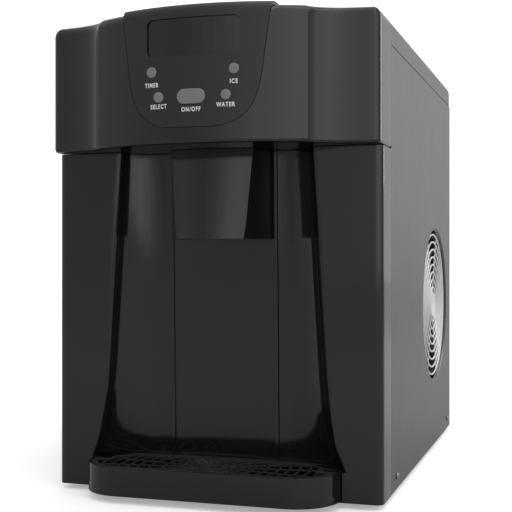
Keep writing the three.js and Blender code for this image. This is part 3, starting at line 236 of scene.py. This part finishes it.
def moulding_grain():
    """Skin of moulded plastic: slow waviness under a fine grain, as a height and a tone."""
    group, inside, out = new_group(
        "moulding_grain",
        [("Vector", "NodeSocketVector", None), ("Grain Scale", "NodeSocketFloat", 900.0),
         ("Wave Scale", "NodeSocketFloat", 14.0), ("Wave Share", "NodeSocketFloat", 0.5)],
        [("Height", "NodeSocketFloat"), ("Tone", "NodeSocketFloat")])
    fine = noise_node(group, inside.outputs["Vector"], inside.outputs["Grain Scale"], 2.0, 0.55)
    slow = noise_node(group, inside.outputs["Vector"], inside.outputs["Wave Scale"], 1.0, 0.4)
    slow_part = math_node(group, "MULTIPLY", slow, inside.outputs["Wave Share"])
    fine_share = math_node(group, "SUBTRACT", 1.0, inside.outputs["Wave Share"])
    fine_part = math_node(group, "MULTIPLY", fine, fine_share)
    group.links.new(math_node(group, "ADD", slow_part, fine_part), out.inputs["Height"])
    group.links.new(fine, out.inputs["Tone"])
    return group


def handling_marks():
    """Faint wipes and finger smudges: a mask that is 0 on clean skin and near 1 on a mark."""
    group, inside, out = new_group(
        "handling_marks",
        [("Vector", "NodeSocketVector", None), ("Size", "NodeSocketFloat", 18.0),
         ("Amount", "NodeSocketFloat", 0.5)],
        [("Mask", "NodeSocketFloat")])
    blots = noise_node(group, inside.outputs["Vector"], inside.outputs["Size"], 4.0, 0.6, 0.4)
    wipes = noise_node(group, stretched(group, inside.outputs["Vector"], (1.0, 1.0, 0.12)),
                       math_node(group, "MULTIPLY", inside.outputs["Size"], 6.0), 3.0, 0.6)
    both = math_node(group, "MULTIPLY", blots, wipes)
    lifted = math_node(group, "SUBTRACT", both, 0.22)
    scaled = math_node(group, "MULTIPLY", lifted, 5.0)
    clamp = group.nodes.new("ShaderNodeClamp")
    group.links.new(scaled, clamp.inputs["Value"])
    mask = math_node(group, "MULTIPLY", clamp.outputs[0], inside.outputs["Amount"])
    group.links.new(mask, out.inputs["Mask"])
    return group


def resting_dust():
    """Thin dust on faces that look up, broken up by a soft noise."""
    group, inside, out = new_group(
        "resting_dust",
        [("Vector", "NodeSocketVector", None), ("Amount", "NodeSocketFloat", 0.3),
         ("Size", "NodeSocketFloat", 40.0)],
        [("Mask", "NodeSocketFloat")])
    geometry = group.nodes.new("ShaderNodeNewGeometry")
    split = group.nodes.new("ShaderNodeSeparateXYZ")
    group.links.new(geometry.outputs["Normal"], split.inputs[0])
    up = math_node(group, "POWER", math_node(group, "MAXIMUM", split.outputs["Z"], 0.0), 4.0)
    specks = noise_node(group, inside.outputs["Vector"], inside.outputs["Size"], 6.0, 0.7)
    mask = math_node(group, "MULTIPLY", up, specks)
    group.links.new(math_node(group, "MULTIPLY", mask, inside.outputs["Amount"]), out.inputs["Mask"])
    return group


def drawn_lines():
    """Fine lines of rolled or brushed metal along Z, as a height and a tone."""
    group, inside, out = new_group(
        "drawn_lines",
        [("Vector", "NodeSocketVector", None), ("Fineness", "NodeSocketFloat", 900.0)],
        [("Height", "NodeSocketFloat"), ("Tone", "NodeSocketFloat")])
    along = stretched(group, inside.outputs["Vector"], (1.0, 1.0, 0.03))
    lines = noise_node(group, along, inside.outputs["Fineness"], 3.0, 0.7)
    cloud = noise_node(group, inside.outputs["Vector"], 30.0, 3.0, 0.5)
    group.links.new(lines, out.inputs["Height"])
    group.links.new(math_node(group, "ADD", math_node(group, "MULTIPLY", lines, 0.6),
                              math_node(group, "MULTIPLY", cloud, 0.4)), out.inputs["Tone"])
    return group


grain_group = moulding_grain()
marks_group = handling_marks()
dust_group = resting_dust()
lines_group = drawn_lines()


# ------------------------------------------------------------------ finishes

DUST_TONE = (0.35, 0.34, 0.32)
ROUGH_SPREAD = 0.2  # how far the roughness swings over a surface, as a share of it


def finish(name, base, rough, grain=900.0, depth=0.00003, waves=14.0, wave_share=0.5, marks=0.4, dust=0.0,
           metallic=0.0, ior=1.5, lines=False, mark_rough=0.25, transmission=0.0, variation=0.12):
    """A finish whose colour, roughness and relief change over the surface. Its depth is in metres."""
    material = bpy.data.materials.new(name)
    material.use_nodes = True
    tree = material.node_tree
    shader = tree.nodes["Principled BSDF"]
    where = tree.nodes.new("ShaderNodeTexCoord").outputs["Object"]

    relief = tree.nodes.new("ShaderNodeGroup")
    relief.node_tree = lines_group if lines else grain_group
    tree.links.new(where, relief.inputs["Vector"])
    if lines:
        relief.inputs["Fineness"].default_value = grain
    else:
        relief.inputs["Grain Scale"].default_value = grain
        relief.inputs["Wave Scale"].default_value = waves
        relief.inputs["Wave Share"].default_value = wave_share

    tone = tree.nodes.new("ShaderNodeMapRange")
    tone.inputs["To Min"].default_value = 1.0 - variation
    tone.inputs["To Max"].default_value = 1.0 + variation
    tree.links.new(relief.outputs["Tone"], tone.inputs["Value"])
    tint = tree.nodes.new("ShaderNodeMix")
    tint.data_type = "RGBA"
    tint.blend_type = "MULTIPLY"
    tint.inputs["Factor"].default_value = 1.0
    tint.inputs[6].default_value = (*base, 1.0)
    tree.links.new(tone.outputs[0], tint.inputs[7])
    colour = tint.outputs[2]

    spots = tree.nodes.new("ShaderNodeGroup")
    spots.node_tree = marks_group
    spots.inputs["Amount"].default_value = marks
    tree.links.new(where, spots.inputs["Vector"])

    rough_range = tree.nodes.new("ShaderNodeMapRange")
    rough_range.inputs["To Min"].default_value = rough * (1 - ROUGH_SPREAD)
    rough_range.inputs["To Max"].default_value = rough * (1 + ROUGH_SPREAD)
    tree.links.new(relief.outputs["Tone"], rough_range.inputs["Value"])
    rougher = math_node(tree, "ADD", rough_range.outputs[0],
                        math_node(tree, "MULTIPLY", spots.outputs["Mask"], mark_rough))
    if dust:
        film = tree.nodes.new("ShaderNodeGroup")
        film.node_tree = dust_group
        film.inputs["Amount"].default_value = dust
        tree.links.new(where, film.inputs["Vector"])
        dusty = tree.nodes.new("ShaderNodeMix")
        dusty.data_type = "RGBA"
        dusty.inputs[7].default_value = (*DUST_TONE, 1.0)
        tree.links.new(film.outputs["Mask"], dusty.inputs["Factor"])
        tree.links.new(colour, dusty.inputs[6])
        colour = dusty.outputs[2]
        rougher = math_node(tree, "ADD", rougher, film.outputs["Mask"])
    tree.links.new(colour, shader.inputs["Base Color"])
    tree.links.new(rougher, shader.inputs["Roughness"])

    raised = tree.nodes.new("ShaderNodeBump")
    raised.inputs["Distance"].default_value = depth
    tree.links.new(relief.outputs["Height"], raised.inputs["Height"])
    tree.links.new(raised.outputs["Normal"], shader.inputs["Normal"])

    shader.inputs["Metallic"].default_value = metallic
    shader.inputs["IOR"].default_value = ior
    shader.inputs["Transmission Weight"].default_value = transmission
    return material


gloss_black = finish("gloss_black_abs", (0.006, 0.006, 0.0065), 0.10, depth=0.00002, waves=9.0,
                     wave_share=0.97, marks=0.35, mark_rough=0.10, dust=0.02, variation=0.1)
panel_black = finish("satin_panel", (0.007, 0.007, 0.0075), 0.50, grain=2600.0, depth=0.00004,
                     wave_share=0.05, marks=0.3, mark_rough=0.08, dust=0.04)
window_smoke = finish("smoked_window", (0.007, 0.007, 0.008), 0.08, depth=0.00001, wave_share=0.95,
                      marks=0.5, mark_rough=0.10, dust=0.02)
lid_smoke = finish("smoked_lid_window", (0.05, 0.05, 0.055), 0.05, depth=0.00001, wave_share=0.95,
                   marks=0.5, mark_rough=0.12, transmission=0.85)
sheet_black = finish("powder_coat", (0.035, 0.035, 0.0355), 0.36, grain=1500.0, depth=0.00005,
                     wave_share=0.1, marks=0.3, mark_rough=0.08, dust=0.05)
key_grey = finish("key_plastic", (0.165, 0.165, 0.17), 0.38, grain=2400.0, depth=0.00003, wave_share=0.1,
                  marks=0.6, mark_rough=0.1)
inner_black = finish("moulded_black", (0.012, 0.012, 0.012), 0.45, grain=1800.0, depth=0.00005,
                     wave_share=0.1, dust=0.05)
guard_silver = finish("silver_guard", (0.62, 0.63, 0.64), 0.32, grain=1800.0, depth=0.00003,
                      wave_share=0.2, marks=0.4, metallic=0.15, dust=0.1)
liner_white = finish("food_liner", (0.74, 0.75, 0.76), 0.35, grain=1500.0, depth=0.00003, wave_share=0.3)
inner_grey = finish("moulded_grey", (0.28, 0.29, 0.30), 0.4, grain=1600.0, depth=0.00004, wave_share=0.2)
steel = finish("plain_steel", (0.52, 0.53, 0.54), 0.28, grain=700.0, depth=0.00002, metallic=1.0,
               lines=True)
copper = finish("copper_tube", (0.62, 0.30, 0.17), 0.33, grain=500.0, depth=0.00002, metallic=1.0,
                lines=True, variation=0.3)
aluminium = finish("mill_aluminium", (0.58, 0.59, 0.60), 0.36, grain=900.0, depth=0.00002, metallic=1.0,
                   lines=True)
board_green = finish("circuit_board", (0.015, 0.10, 0.04), 0.32, grain=500.0, depth=0.00002,
                     variation=0.3)
rubber = finish("black_rubber", (0.018, 0.018, 0.018), 0.7, grain=1400.0, depth=0.00006, wave_share=0.05,
                dust=0.12)
compressor_black = finish("enamelled_steel", (0.009, 0.009, 0.009), 0.25, grain=500.0, depth=0.00006,
                          wave_share=0.4, dust=0.15)

grille_black = finish("grille_black", (0.010, 0.010, 0.010), 0.42, ior=1.33, grain=1500.0, depth=0.00003,
                      wave_share=0.2, dust=0.1)
label_white = finish("printed_white", (0.72, 0.72, 0.72), 0.5, grain=2500.0, depth=0.00001, marks=0.2)
screw_steel = finish("zinc_screw", (0.35, 0.35, 0.36), 0.35, grain=900.0, depth=0.00002, metallic=1.0,
                     lines=True)

finish_of_slot = {
    "gloss_black": gloss_black,
    "panel_black": panel_black,
    "window_smoke": window_smoke,
    "sheet_black": sheet_black,
    "key_grey": key_grey,
    "inner_black": inner_black,
    "guard_silver": guard_silver,
    "liner_white": liner_white,
    "inner_grey": inner_grey,
    "steel": steel,
    "copper": copper,
    "aluminium": aluminium,
    "board_green": board_green,
    "rubber": rubber,
    "compressor_black": compressor_black,
}


def carried_over_finishes():
    """The CAD pieces take the finish of their slot, and the lid's window is clear enough to see the ice."""
    for node, piece in nodes.items():
        piece.data.materials.clear()
        piece.data.materials.append(finish_of_slot[slot_of_node[node]])
    nodes["lid_window"].data.materials[0] = lid_smoke


carried_over_finishes()

# ------------------------------------------------------------------ casing

# Outer shells and sheets, with the radius in millimetres that their edges are moulded or bent with.
edge_radii = {
    "front_fascia": 0.5,
    "head_cover": 0.5,
    "control_panel": 0.5,
    "spout_housing": 0.5,
    "drip_tray": 0.6,
    "top_cover": 0.8,
    "lid_frame": 0.6,
    "right_side_panel": 0.5,
    "left_side_panel": 0.5,
}


def moulded_casing():
    for node, radius in edge_radii.items():
        skin_of(node, radius * MM)


# ------------------------------------------------------------------ keys and their names

KEY_THICKNESS = 5 * MM
KEY_CROWN = 0.4 * MM  # room in front of the key's body, which the crown fills
ROUND_KEY_RADIUS = 4.5 * MM
LONG_KEY_WIDTH = 25 * MM
LONG_KEY_HEIGHT = 12.6 * MM
LONG_KEY_CORNER = 6.2 * MM

CREASE_X = 95 * MM  # where the head's bulge meets its wings
BULGE_RISE = 19.1 * MM  # middle of the bulge in front of the creases
BULGE_RADIUS = (CREASE_X ** 2 + BULGE_RISE ** 2) / (2 * BULGE_RISE)
BULGE_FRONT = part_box("head_cover")[0].y

NAME_HEIGHT = 3.6 * MM  # capital letters
CAPITAL_SHARE = 0.7  # capital letters' share of the typeface's size
NAME_SINK = 0.02 * MM
NAME_THICKNESS = 0.12 * MM
NAME_BOLDNESS = 0.13 * MM
NAME_NARROWING = 0.76
LETTER_SPACING = 1.28

# Each name's place in millimetres, across from the middle and up from the underside of the casing.
names_on_panel = (("TIMER", -36.6, 350.6), ("ICE", 36.6, 351.0), ("SELECT", -29.9, 332.4),
                  ("WATER", 29.9, 332.0), ("ON/OFF", 0, 329.0))


def key_centre(node):
    """Middle of a key's body, which sits behind its crown."""
    low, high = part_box(node)
    middle = (low + high) / 2
    return Vector((middle.x, low.y + KEY_CROWN + KEY_THICKNESS / 2, middle.z))


def crown(key, *steps):
    """Raises a key's front face in steps, each a width inwards and a rise forwards."""
    choose_faces(key, lambda at, normal: normal.y < -0.9)
    for width, rise in steps:
        bpy.ops.mesh.inset(thickness=width * MM)
        bpy.ops.transform.translate(value=(0, -rise * MM, 0))
    bpy.ops.object.mode_set(mode="OBJECT")


def round_key(node):
    """A moulded round key: soft rim and a crown that stands a little proud."""
    clear_hands()
    bpy.ops.mesh.primitive_cylinder_add(vertices=48, radius=ROUND_KEY_RADIUS, depth=KEY_THICKNESS,
                                        location=key_centre(node), rotation=(math.radians(90), 0, 0))
    key = bpy.context.object
    put_in_place(key)
    crown(key, (1.0, 0.25), (1.6, 0.12))
    round_edges(key, 0.35 * MM, 4)
    settle(key, node + "_cap", body_of(node), key_grey, 50)
    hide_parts(node)


def long_key(node):
    """The on/off key: a moulded bar with round ends and a raised crown."""
    clear_hands()
    bpy.ops.mesh.primitive_cube_add(size=1, location=key_centre(node))
    key = bpy.context.object
    key.scale = (LONG_KEY_WIDTH, KEY_THICKNESS, LONG_KEY_HEIGHT)
    put_in_place(key)
    choose_edges(key, lambda at, along: abs(along.y) > 0.9)
    bpy.ops.mesh.bevel(offset=LONG_KEY_CORNER, segments=14, profile=0.5)
    crown(key, (1.2, 0.3))
    round_edges(key, 0.4 * MM, 4)
    settle(key, node + "_cap", body_of(node), key_grey, 50)
    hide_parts(node)


def printed_name(words, x, z):
    """A key's name, printed on the bulged face of the control panel."""
    clear_hands()
    face = BULGE_FRONT + BULGE_RADIUS - math.sqrt(BULGE_RADIUS ** 2 - x ** 2)
    bpy.ops.object.text_add(location=(x, face - NAME_SINK, z),
                            rotation=(math.radians(90), 0, math.asin(x / BULGE_RADIUS)))
    text = bpy.context.object
    text.data.body = words
    text.data.size = NAME_HEIGHT / CAPITAL_SHARE
    text.data.align_x = "CENTER"
    text.data.align_y = "CENTER"
    text.data.extrude = NAME_THICKNESS
    text.data.offset = NAME_BOLDNESS
    text.data.space_character = LETTER_SPACING
    text.data.resolution_u = 4
    text.scale = (NAME_NARROWING, 1, 1)
    take(text)
    bpy.ops.object.convert(target="MESH")
    name = "name_" + words.replace("/", "_").lower()
    settle(bpy.context.object, name, "root", label_white, None)


def keys_and_names():
    for node in ("timer_button", "ice_button", "select_button", "water_button"):
        round_key(node)
    long_key("power_button")
    for words, x, z in names_on_panel:
        printed_name(words, x * MM, UNDERSIDE + z * MM)


# ------------------------------------------------------------------ drip grille

GRILLE_LOW, GRILLE_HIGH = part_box("drip_grille")
GRILLE_THICKNESS = GRILLE_HIGH.z - GRILLE_LOW.z
RING_CENTRE = Vector((0, COLUMN_FRONT - 8.8 * MM, (GRILLE_LOW.z + GRILLE_HIGH.z) / 2))
FRONT_CORNER = 34.7 * MM
FRAME_WIDTH = 5 * MM
BAR_END = 2.5 * MM  # bars end inside the frame, this far from its outline
RING_WIRE = 1.25 * MM
RING_RADII = (11.2, 17.1, 24.5, 31.2, 40.1, 52.0, 61.7, 70.6, 79.5, 88.4, 97.3, 106.2)
WHOLE_RING = 26  # a ring below this radius lies wholly inside the frame
SPOKES = 24
SPOKE_LENGTH = 104 * MM
SPOKE_START = 9.5 * MM
BOSS_RADIUS = 8.4 * MM

# Between the columns the grille is narrower: it starts at the step and its rear corners are cut off twice.
STEP_X = 99.3 * MM
STEP_AHEAD = 1.7 * MM  # step in front of the column fronts
STEP_BLOCK = 80 * MM
# Each cut is a line through two points, in millimetres across and behind the column fronts.
corner_cuts = (((98.7, 9.7), (90.6, 16.5)), ((90.6, 16.5), (74.0, 22.2)))


def grille_plate(inset):
    """The grille's outline, drawn in by the inset, as a plate of its thickness."""
    clear_hands()
    front = GRILLE_LOW.y + inset
    rear = GRILLE_HIGH.y - inset
    bpy.ops.mesh.primitive_plane_add(size=1, location=(0, (front + rear) / 2, GRILLE_LOW.z))
    plate = bpy.context.object
    plate.scale = (2 * (GRILLE_HIGH.x - inset), rear - front, 1)
    put_in_place(plate)
    bpy.ops.object.mode_set(mode="EDIT")
    bpy.ops.mesh.select_mode(type="VERT")
    bpy.ops.mesh.select_all(action="DESELECT")
    bpy.ops.object.mode_set(mode="OBJECT")
    for point in plate.data.vertices:
        point.select = point.co.y < (front + rear) / 2
    bpy.ops.object.mode_set(mode="EDIT")
    bpy.ops.mesh.bevel(offset=FRONT_CORNER - inset, segments=16, affect="VERTICES", profile=0.5)
    for side in (-1, 1):
        for near, far in corner_cuts:
            start = Vector((side * (near[0] * MM - inset), COLUMN_FRONT + near[1] * MM, 0))
            end = Vector((side * (far[0] * MM - inset), COLUMN_FRONT + far[1] * MM, 0))
            outward = Vector((end.y - start.y, start.x - end.x, 0)) * side
            bpy.ops.mesh.select_all(action="SELECT")
            bpy.ops.mesh.bisect(plane_co=start, plane_no=outward, clear_outer=True, clear_inner=False)
    bpy.ops.mesh.select_all(action="SELECT")
    bpy.ops.mesh.extrude_region_move(TRANSFORM_OT_translate={"value": (0, 0, GRILLE_THICKNESS)})
    bpy.ops.mesh.select_all(action="SELECT")
    bpy.ops.mesh.normals_make_consistent(inside=False)
    bpy.ops.object.mode_set(mode="OBJECT")
    for side in (-1, 1):
        clear_hands()
        block_x = side * (STEP_X + STEP_BLOCK / 2 - inset)
        block_y = COLUMN_FRONT - STEP_AHEAD + STEP_BLOCK / 2 - inset
        bpy.ops.mesh.primitive_cube_add(size=STEP_BLOCK, location=(block_x, block_y, RING_CENTRE.z))
        cut_with(plate, bpy.context.object, "DIFFERENCE")
    return plate


def grille_frame():
    opening = grille_plate(FRAME_WIDTH)
    take(opening)
    bpy.ops.transform.resize(value=(1, 1, 3), center_override=RING_CENTRE)
    bar = grille_plate(0)
    cut_with(bar, opening, "DIFFERENCE")
    round_edges(bar, 0.5 * MM, 2)
    return bar


def grille_ring(radius):
    clear_hands()
    bpy.ops.mesh.primitive_torus_add(major_radius=radius * MM, minor_radius=RING_WIRE, major_segments=120,
                                     minor_segments=8, location=RING_CENTRE)
    ring = bpy.context.object
    ring.scale = (1, 1, 1.1)
    put_in_place(ring)
    return ring


def grille_spoke(turn):
    clear_hands()
    bpy.ops.mesh.primitive_cube_add(size=1, location=(0, 0, 0))
    spoke = bpy.context.object
    spoke.scale = (SPOKE_LENGTH, 1.3 * MM, 2.2 * MM)
    put_in_place(spoke)
    choose_edges(spoke, lambda at, along: abs(along.x) > 0.9)
    bpy.ops.mesh.bevel(offset=0.4 * MM, segments=2)
    bpy.ops.object.mode_set(mode="OBJECT")
    middle = SPOKE_START + SPOKE_LENGTH / 2
    spoke.location = RING_CENTRE + Vector((middle * math.cos(turn), middle * math.sin(turn), -0.1 * MM))
    spoke.rotation_euler = (0, 0, turn)
    put_in_place(spoke)
    return spoke


def grille_boss():
    """The dished disc in the middle of the rings."""
    clear_hands()
    bpy.ops.mesh.primitive_cylinder_add(vertices=48, radius=BOSS_RADIUS, depth=2.6 * MM, location=RING_CENTRE)
    boss = bpy.context.object
    put_in_place(boss)
    choose_faces(boss, lambda at, normal: normal.z > 0.9)
    bpy.ops.mesh.inset(thickness=1.5 * MM)
    bpy.ops.transform.translate(value=(0, 0, -0.6 * MM))
    bpy.ops.object.mode_set(mode="OBJECT")
    round_edges(boss, 0.3 * MM, 2, 30)
    return boss


def ringed_grille():
    """Rings and spokes cut to the grille's field, in their frame."""
    field = grille_plate(BAR_END)
    bars = [grille_frame()]
    for radius in RING_RADII:
        ring = grille_ring(radius)
        if radius > WHOLE_RING:
            cut_with(ring, field, "INTERSECT", keep=True)
        bars.append(ring)
    for i in range(SPOKES):
        spoke = grille_spoke(2 * math.pi * (i + 0.5) / SPOKES)
        cut_with(spoke, field, "INTERSECT", keep=True)
        bars.append(spoke)
    bars.append(grille_boss())
    grille = join(bars)
    settle(grille, "drip_grille_bars", body_of("drip_grille"), grille_black, 35)
    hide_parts("drip_grille")
    bpy.data.objects.remove(field, do_unlink=True)


# ------------------------------------------------------------------ fan guard

GUARD_LOW, GUARD_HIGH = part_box("fan_guard")
GUARD_CENTRE = (GUARD_LOW + GUARD_HIGH) / 2
GUARD_RADIUS = (GUARD_HIGH.y - GUARD_LOW.y) / 2
GUARD_THICKNESS = GUARD_HIGH.x - GUARD_LOW.x
GUARD_WIRE = 1.05 * MM
GUARD_RINGS = 8
FIRST_RING = 19 * MM
RING_PITCH = 8.4 * MM
GUARD_STRUTS = 8
STRUT_RADIUS = 1.0 * MM
STRUT_OFFSET = 1.5 * MM  # struts start this far from the centre line
BADGE_RADIUS = 14 * MM


def guard_ring(radius, wire, at_x):
    clear_hands()
    bpy.ops.mesh.primitive_torus_add(major_radius=radius, minor_radius=wire, major_segments=144,
                                     minor_segments=10, location=(at_x, GUARD_CENTRE.y, GUARD_CENTRE.z),
                                     rotation=(0, math.radians(90), 0))
    ring = bpy.context.object
    put_in_place(ring)
    return ring


def guard_strut(lean):
    clear_hands()
    length = GUARD_RADIUS - GUARD_THICKNESS
    bpy.ops.mesh.primitive_cylinder_add(vertices=12, radius=STRUT_RADIUS, depth=length)
    strut = bpy.context.object
    choose_faces(strut, lambda at, normal: abs(normal.z) > 0.9)
    bpy.ops.mesh.inset(thickness=0.2 * MM)
    bpy.ops.object.mode_set(mode="OBJECT")
    middle = length / 2 + STRUT_OFFSET
    strut.rotation_euler = (lean, 0, 0)
    strut.location = (GUARD_LOW.x + 1.1 * MM, GUARD_CENTRE.y - math.sin(lean) * middle,
                      GUARD_CENTRE.z + math.cos(lean) * middle)
    put_in_place(strut)
    return strut


def guard_badge():
    """The blank disc in the middle of the guard, with a raised rim."""
    clear_hands()
    bpy.ops.mesh.primitive_cylinder_add(vertices=64, radius=BADGE_RADIUS, depth=GUARD_THICKNESS - 0.2 * MM,
                                        location=GUARD_CENTRE, rotation=(0, math.radians(90), 0))
    badge = bpy.context.object
    put_in_place(badge)
    choose_faces(badge, lambda at, normal: normal.x > 0.9)
    bpy.ops.mesh.inset(thickness=1.6 * MM)
    bpy.ops.transform.translate(value=(-0.6 * MM, 0, 0))
    bpy.ops.object.mode_set(mode="OBJECT")
    round_edges(badge, 0.5 * MM, 3, 35)
    return badge


def wire_guard():
    bars = [guard_ring(GUARD_RADIUS - GUARD_THICKNESS / 2, GUARD_THICKNESS / 2, GUARD_CENTRE.x)]
    for i in range(GUARD_RINGS):
        bars.append(guard_ring(FIRST_RING + i * RING_PITCH, GUARD_WIRE, GUARD_HIGH.x - GUARD_WIRE))
    for i in range(GUARD_STRUTS):
        bars.append(guard_strut(2 * math.pi * (i + 0.5) / GUARD_STRUTS))
    bars.append(guard_badge())
    guard = join(bars)
    settle(guard, "fan_guard_wires", body_of("fan_guard"), guard_silver, 35)
    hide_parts("fan_guard")


# ------------------------------------------------------------------ screws

REAR_SCREW_RADIUS = 3.4 * MM
SIDE_SCREW_RADIUS = 3.0 * MM
SCREW_HEAD = 1.6 * MM
CROSS_LENGTH = 3.4 * MM
CROSS_WIDTH = 0.9 * MM
CROSS_DEPTH = 0.7 * MM


def cross_screw(name, at, facing, radius):
    """A pan-head screw with a cross recess, its head standing off the sheet it holds."""
    clear_hands()
    bpy.ops.mesh.primitive_cylinder_add(vertices=32, radius=radius, depth=SCREW_HEAD,
                                        location=(0, 0, SCREW_HEAD / 2))
    screw = bpy.context.object
    put_in_place(screw)
    round_edges(screw, 0.7 * MM, 4)
    for turn in (0, math.pi / 2):
        clear_hands()
        bpy.ops.mesh.primitive_cube_add(size=1, location=(0, 0, SCREW_HEAD), rotation=(0, 0, turn))
        recess = bpy.context.object
        recess.scale = (CROSS_LENGTH, CROSS_WIDTH, 2 * CROSS_DEPTH)
        cut_with(screw, recess, "DIFFERENCE")
    screw.rotation_euler = Vector(facing).to_track_quat("Z", "Y").to_euler()
    screw.location = at
    settle(screw, name, "root", screw_steel)


def casing_screws():
    """Eight screws in the rear panel, then two low on each side sheet."""
    rear_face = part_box("rear_panel")[1].y
    number = 0
    for x in (-135, -45, 45, 135):
        for z in (18, 372):
            number += 1
            at = (x * MM, rear_face, UNDERSIDE + z * MM)
            cross_screw("rear_screw_%d" % number, at, (0, 1, 0), REAR_SCREW_RADIUS)
    side_faces = ((-1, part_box("left_side_panel")[0].x), (1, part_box("right_side_panel")[1].x))
    for side, face in side_faces:
        for y in (60, 380):
            number += 1
            at = (face, COLUMN_FRONT + y * MM, UNDERSIDE + 12 * MM)
            cross_screw("side_screw_%d" % number, at, (side, 0, 0), SIDE_SCREW_RADIUS)


moulded_casing()
keys_and_names()
ringed_grille()
wire_guard()
casing_screws()

# ------------------------------------------------------------------ stage

def pale_floor():
    """A floor that looks near white, but throws less light back at the machine."""
    clear_hands()
    bpy.ops.mesh.primitive_plane_add(size=14, location=(0, 0, 0))
    floor = bpy.context.object
    floor.name = "floor"
    pale = bpy.data.materials.new("pale_floor")
    pale.use_nodes = True
    tree = pale.node_tree
    paper = tree.nodes["Principled BSDF"]
    paper.inputs["Roughness"].default_value = 0.9
    ray = tree.nodes.new("ShaderNodeLightPath")
    tone = tree.nodes.new("ShaderNodeMix")
    tone.data_type = "RGBA"
    tone.inputs[6].default_value = (0.58, 0.58, 0.58, 1)
    tone.inputs[7].default_value = (0.96, 0.96, 0.96, 1)
    tree.links.new(ray.outputs["Is Camera Ray"], tone.inputs["Factor"])
    tree.links.new(tone.outputs[2], paper.inputs["Base Color"])
    tree.links.new(tone.outputs[2], paper.inputs["Emission Color"])
    tree.links.new(math_node(tree, "MULTIPLY", ray.outputs["Is Camera Ray"], 0.35),
                   paper.inputs["Emission Strength"])
    floor.data.materials.append(pale)


# Brightness of the room by direction, in degrees to the right of straight ahead of the machine.
room_brightness = ((-180, 0.6), (-120, 0.75), (-60, 0.60), (-28, 0.50), (-14, 0.68), (-4, 0.92), (9, 1.30),
                   (28, 1.60), (60, 1.45), (86, 0.70), (108, 0.50), (128, 1.1), (142, 2.0), (154, 1.1),
                   (166, 0.75), (180, 0.6))
FULL_BRIGHTNESS = 2  # brightness at the ramp's white
LEVEL_GAIN = 1.96
CLIMB = 0.1  # added to the gain straight up, and taken from it straight down
BACKDROP = 1.3  # the room as the camera sees it, plain white


def light_room():
    """Soft studio light all round, brighter on the machine's right, behind a plain white backdrop."""
    world = bpy.data.worlds.new("studio")
    bpy.context.scene.world = world
    world.use_nodes = True
    sky = world.node_tree
    background = sky.nodes["Background"]
    direction = sky.nodes.new("ShaderNodeSeparateXYZ")
    sky.links.new(sky.nodes.new("ShaderNodeTexCoord").outputs["Generated"], direction.inputs[0])
    ahead = math_node(sky, "MULTIPLY", direction.outputs["Y"], -1.0)
    turn = math_node(sky, "ARCTAN2", direction.outputs["X"], ahead)
    around = math_node(sky, "ADD", math_node(sky, "DIVIDE", turn, 2 * math.pi), 0.5)
    ramp = sky.nodes.new("ShaderNodeValToRGB")
    ramp.color_ramp.interpolation = "EASE"
    stops = ramp.color_ramp.elements
    last = len(room_brightness) - 1  # a new ramp already has its first and last stop
    for i, (azimuth, brightness) in enumerate(room_brightness):
        at = 0.5 + azimuth / 360
        if i == 0:
            stop = stops[0]
        elif i == last:
            stop = stops[-1]
        else:
            stop = stops.new(at)
        stop.position = at
        stop.color = (*[brightness / FULL_BRIGHTNESS] * 3, 1)
    sky.links.new(around, ramp.inputs["Fac"])
    climb = math_node(sky, "ADD", math_node(sky, "MULTIPLY", direction.outputs["Z"], CLIMB), LEVEL_GAIN)
    room = math_node(sky, "MULTIPLY", ramp.outputs["Color"], climb)
    ray = sky.nodes.new("ShaderNodeLightPath")
    strength = sky.nodes.new("ShaderNodeMix")
    sky.links.new(ray.outputs["Is Camera Ray"], strength.inputs["Factor"])
    sky.links.new(room, strength.inputs[2])
    strength.inputs[3].default_value = BACKDROP
    sky.links.new(strength.outputs[0], background.inputs["Strength"])
    background.inputs["Color"].default_value = (1, 1, 1, 1)


def soft_light(name, at, towards, width, height, power):
    clear_hands()
    bpy.ops.object.light_add(type="AREA", location=at)
    lamp = bpy.context.object
    lamp.name = name
    lamp.data.shape = "RECTANGLE"
    lamp.data.size = width
    lamp.data.size_y = height
    lamp.data.energy = power
    lamp.rotation_euler = (Vector(towards) - Vector(at)).to_track_quat("-Z", "Y").to_euler()


def set_camera():
    clear_hands()
    bpy.ops.object.camera_add(location=(0.31532, -0.97105, 0.213),
                              rotation=(math.radians(90), 0, math.radians(16.01)))
    camera = bpy.context.object
    camera.data.lens = 68.2
    camera.data.sensor_width = 36
    camera.data.shift_x = -0.1055
    camera.data.shift_y = -0.0002
    bpy.context.scene.camera = camera


pale_floor()
light_room()
soft_light("top_softbox", (0.3, 0.1, 2.4), (0, 0, 0.4), 1.6, 1.6, 8)
soft_light("rear_strip", (1.35, 1.15, 0.75), (0.15, -0.1, 0.35), 0.22, 0.7, 5)
set_camera()
bpy.context.scene.view_settings.view_transform = "Standard"
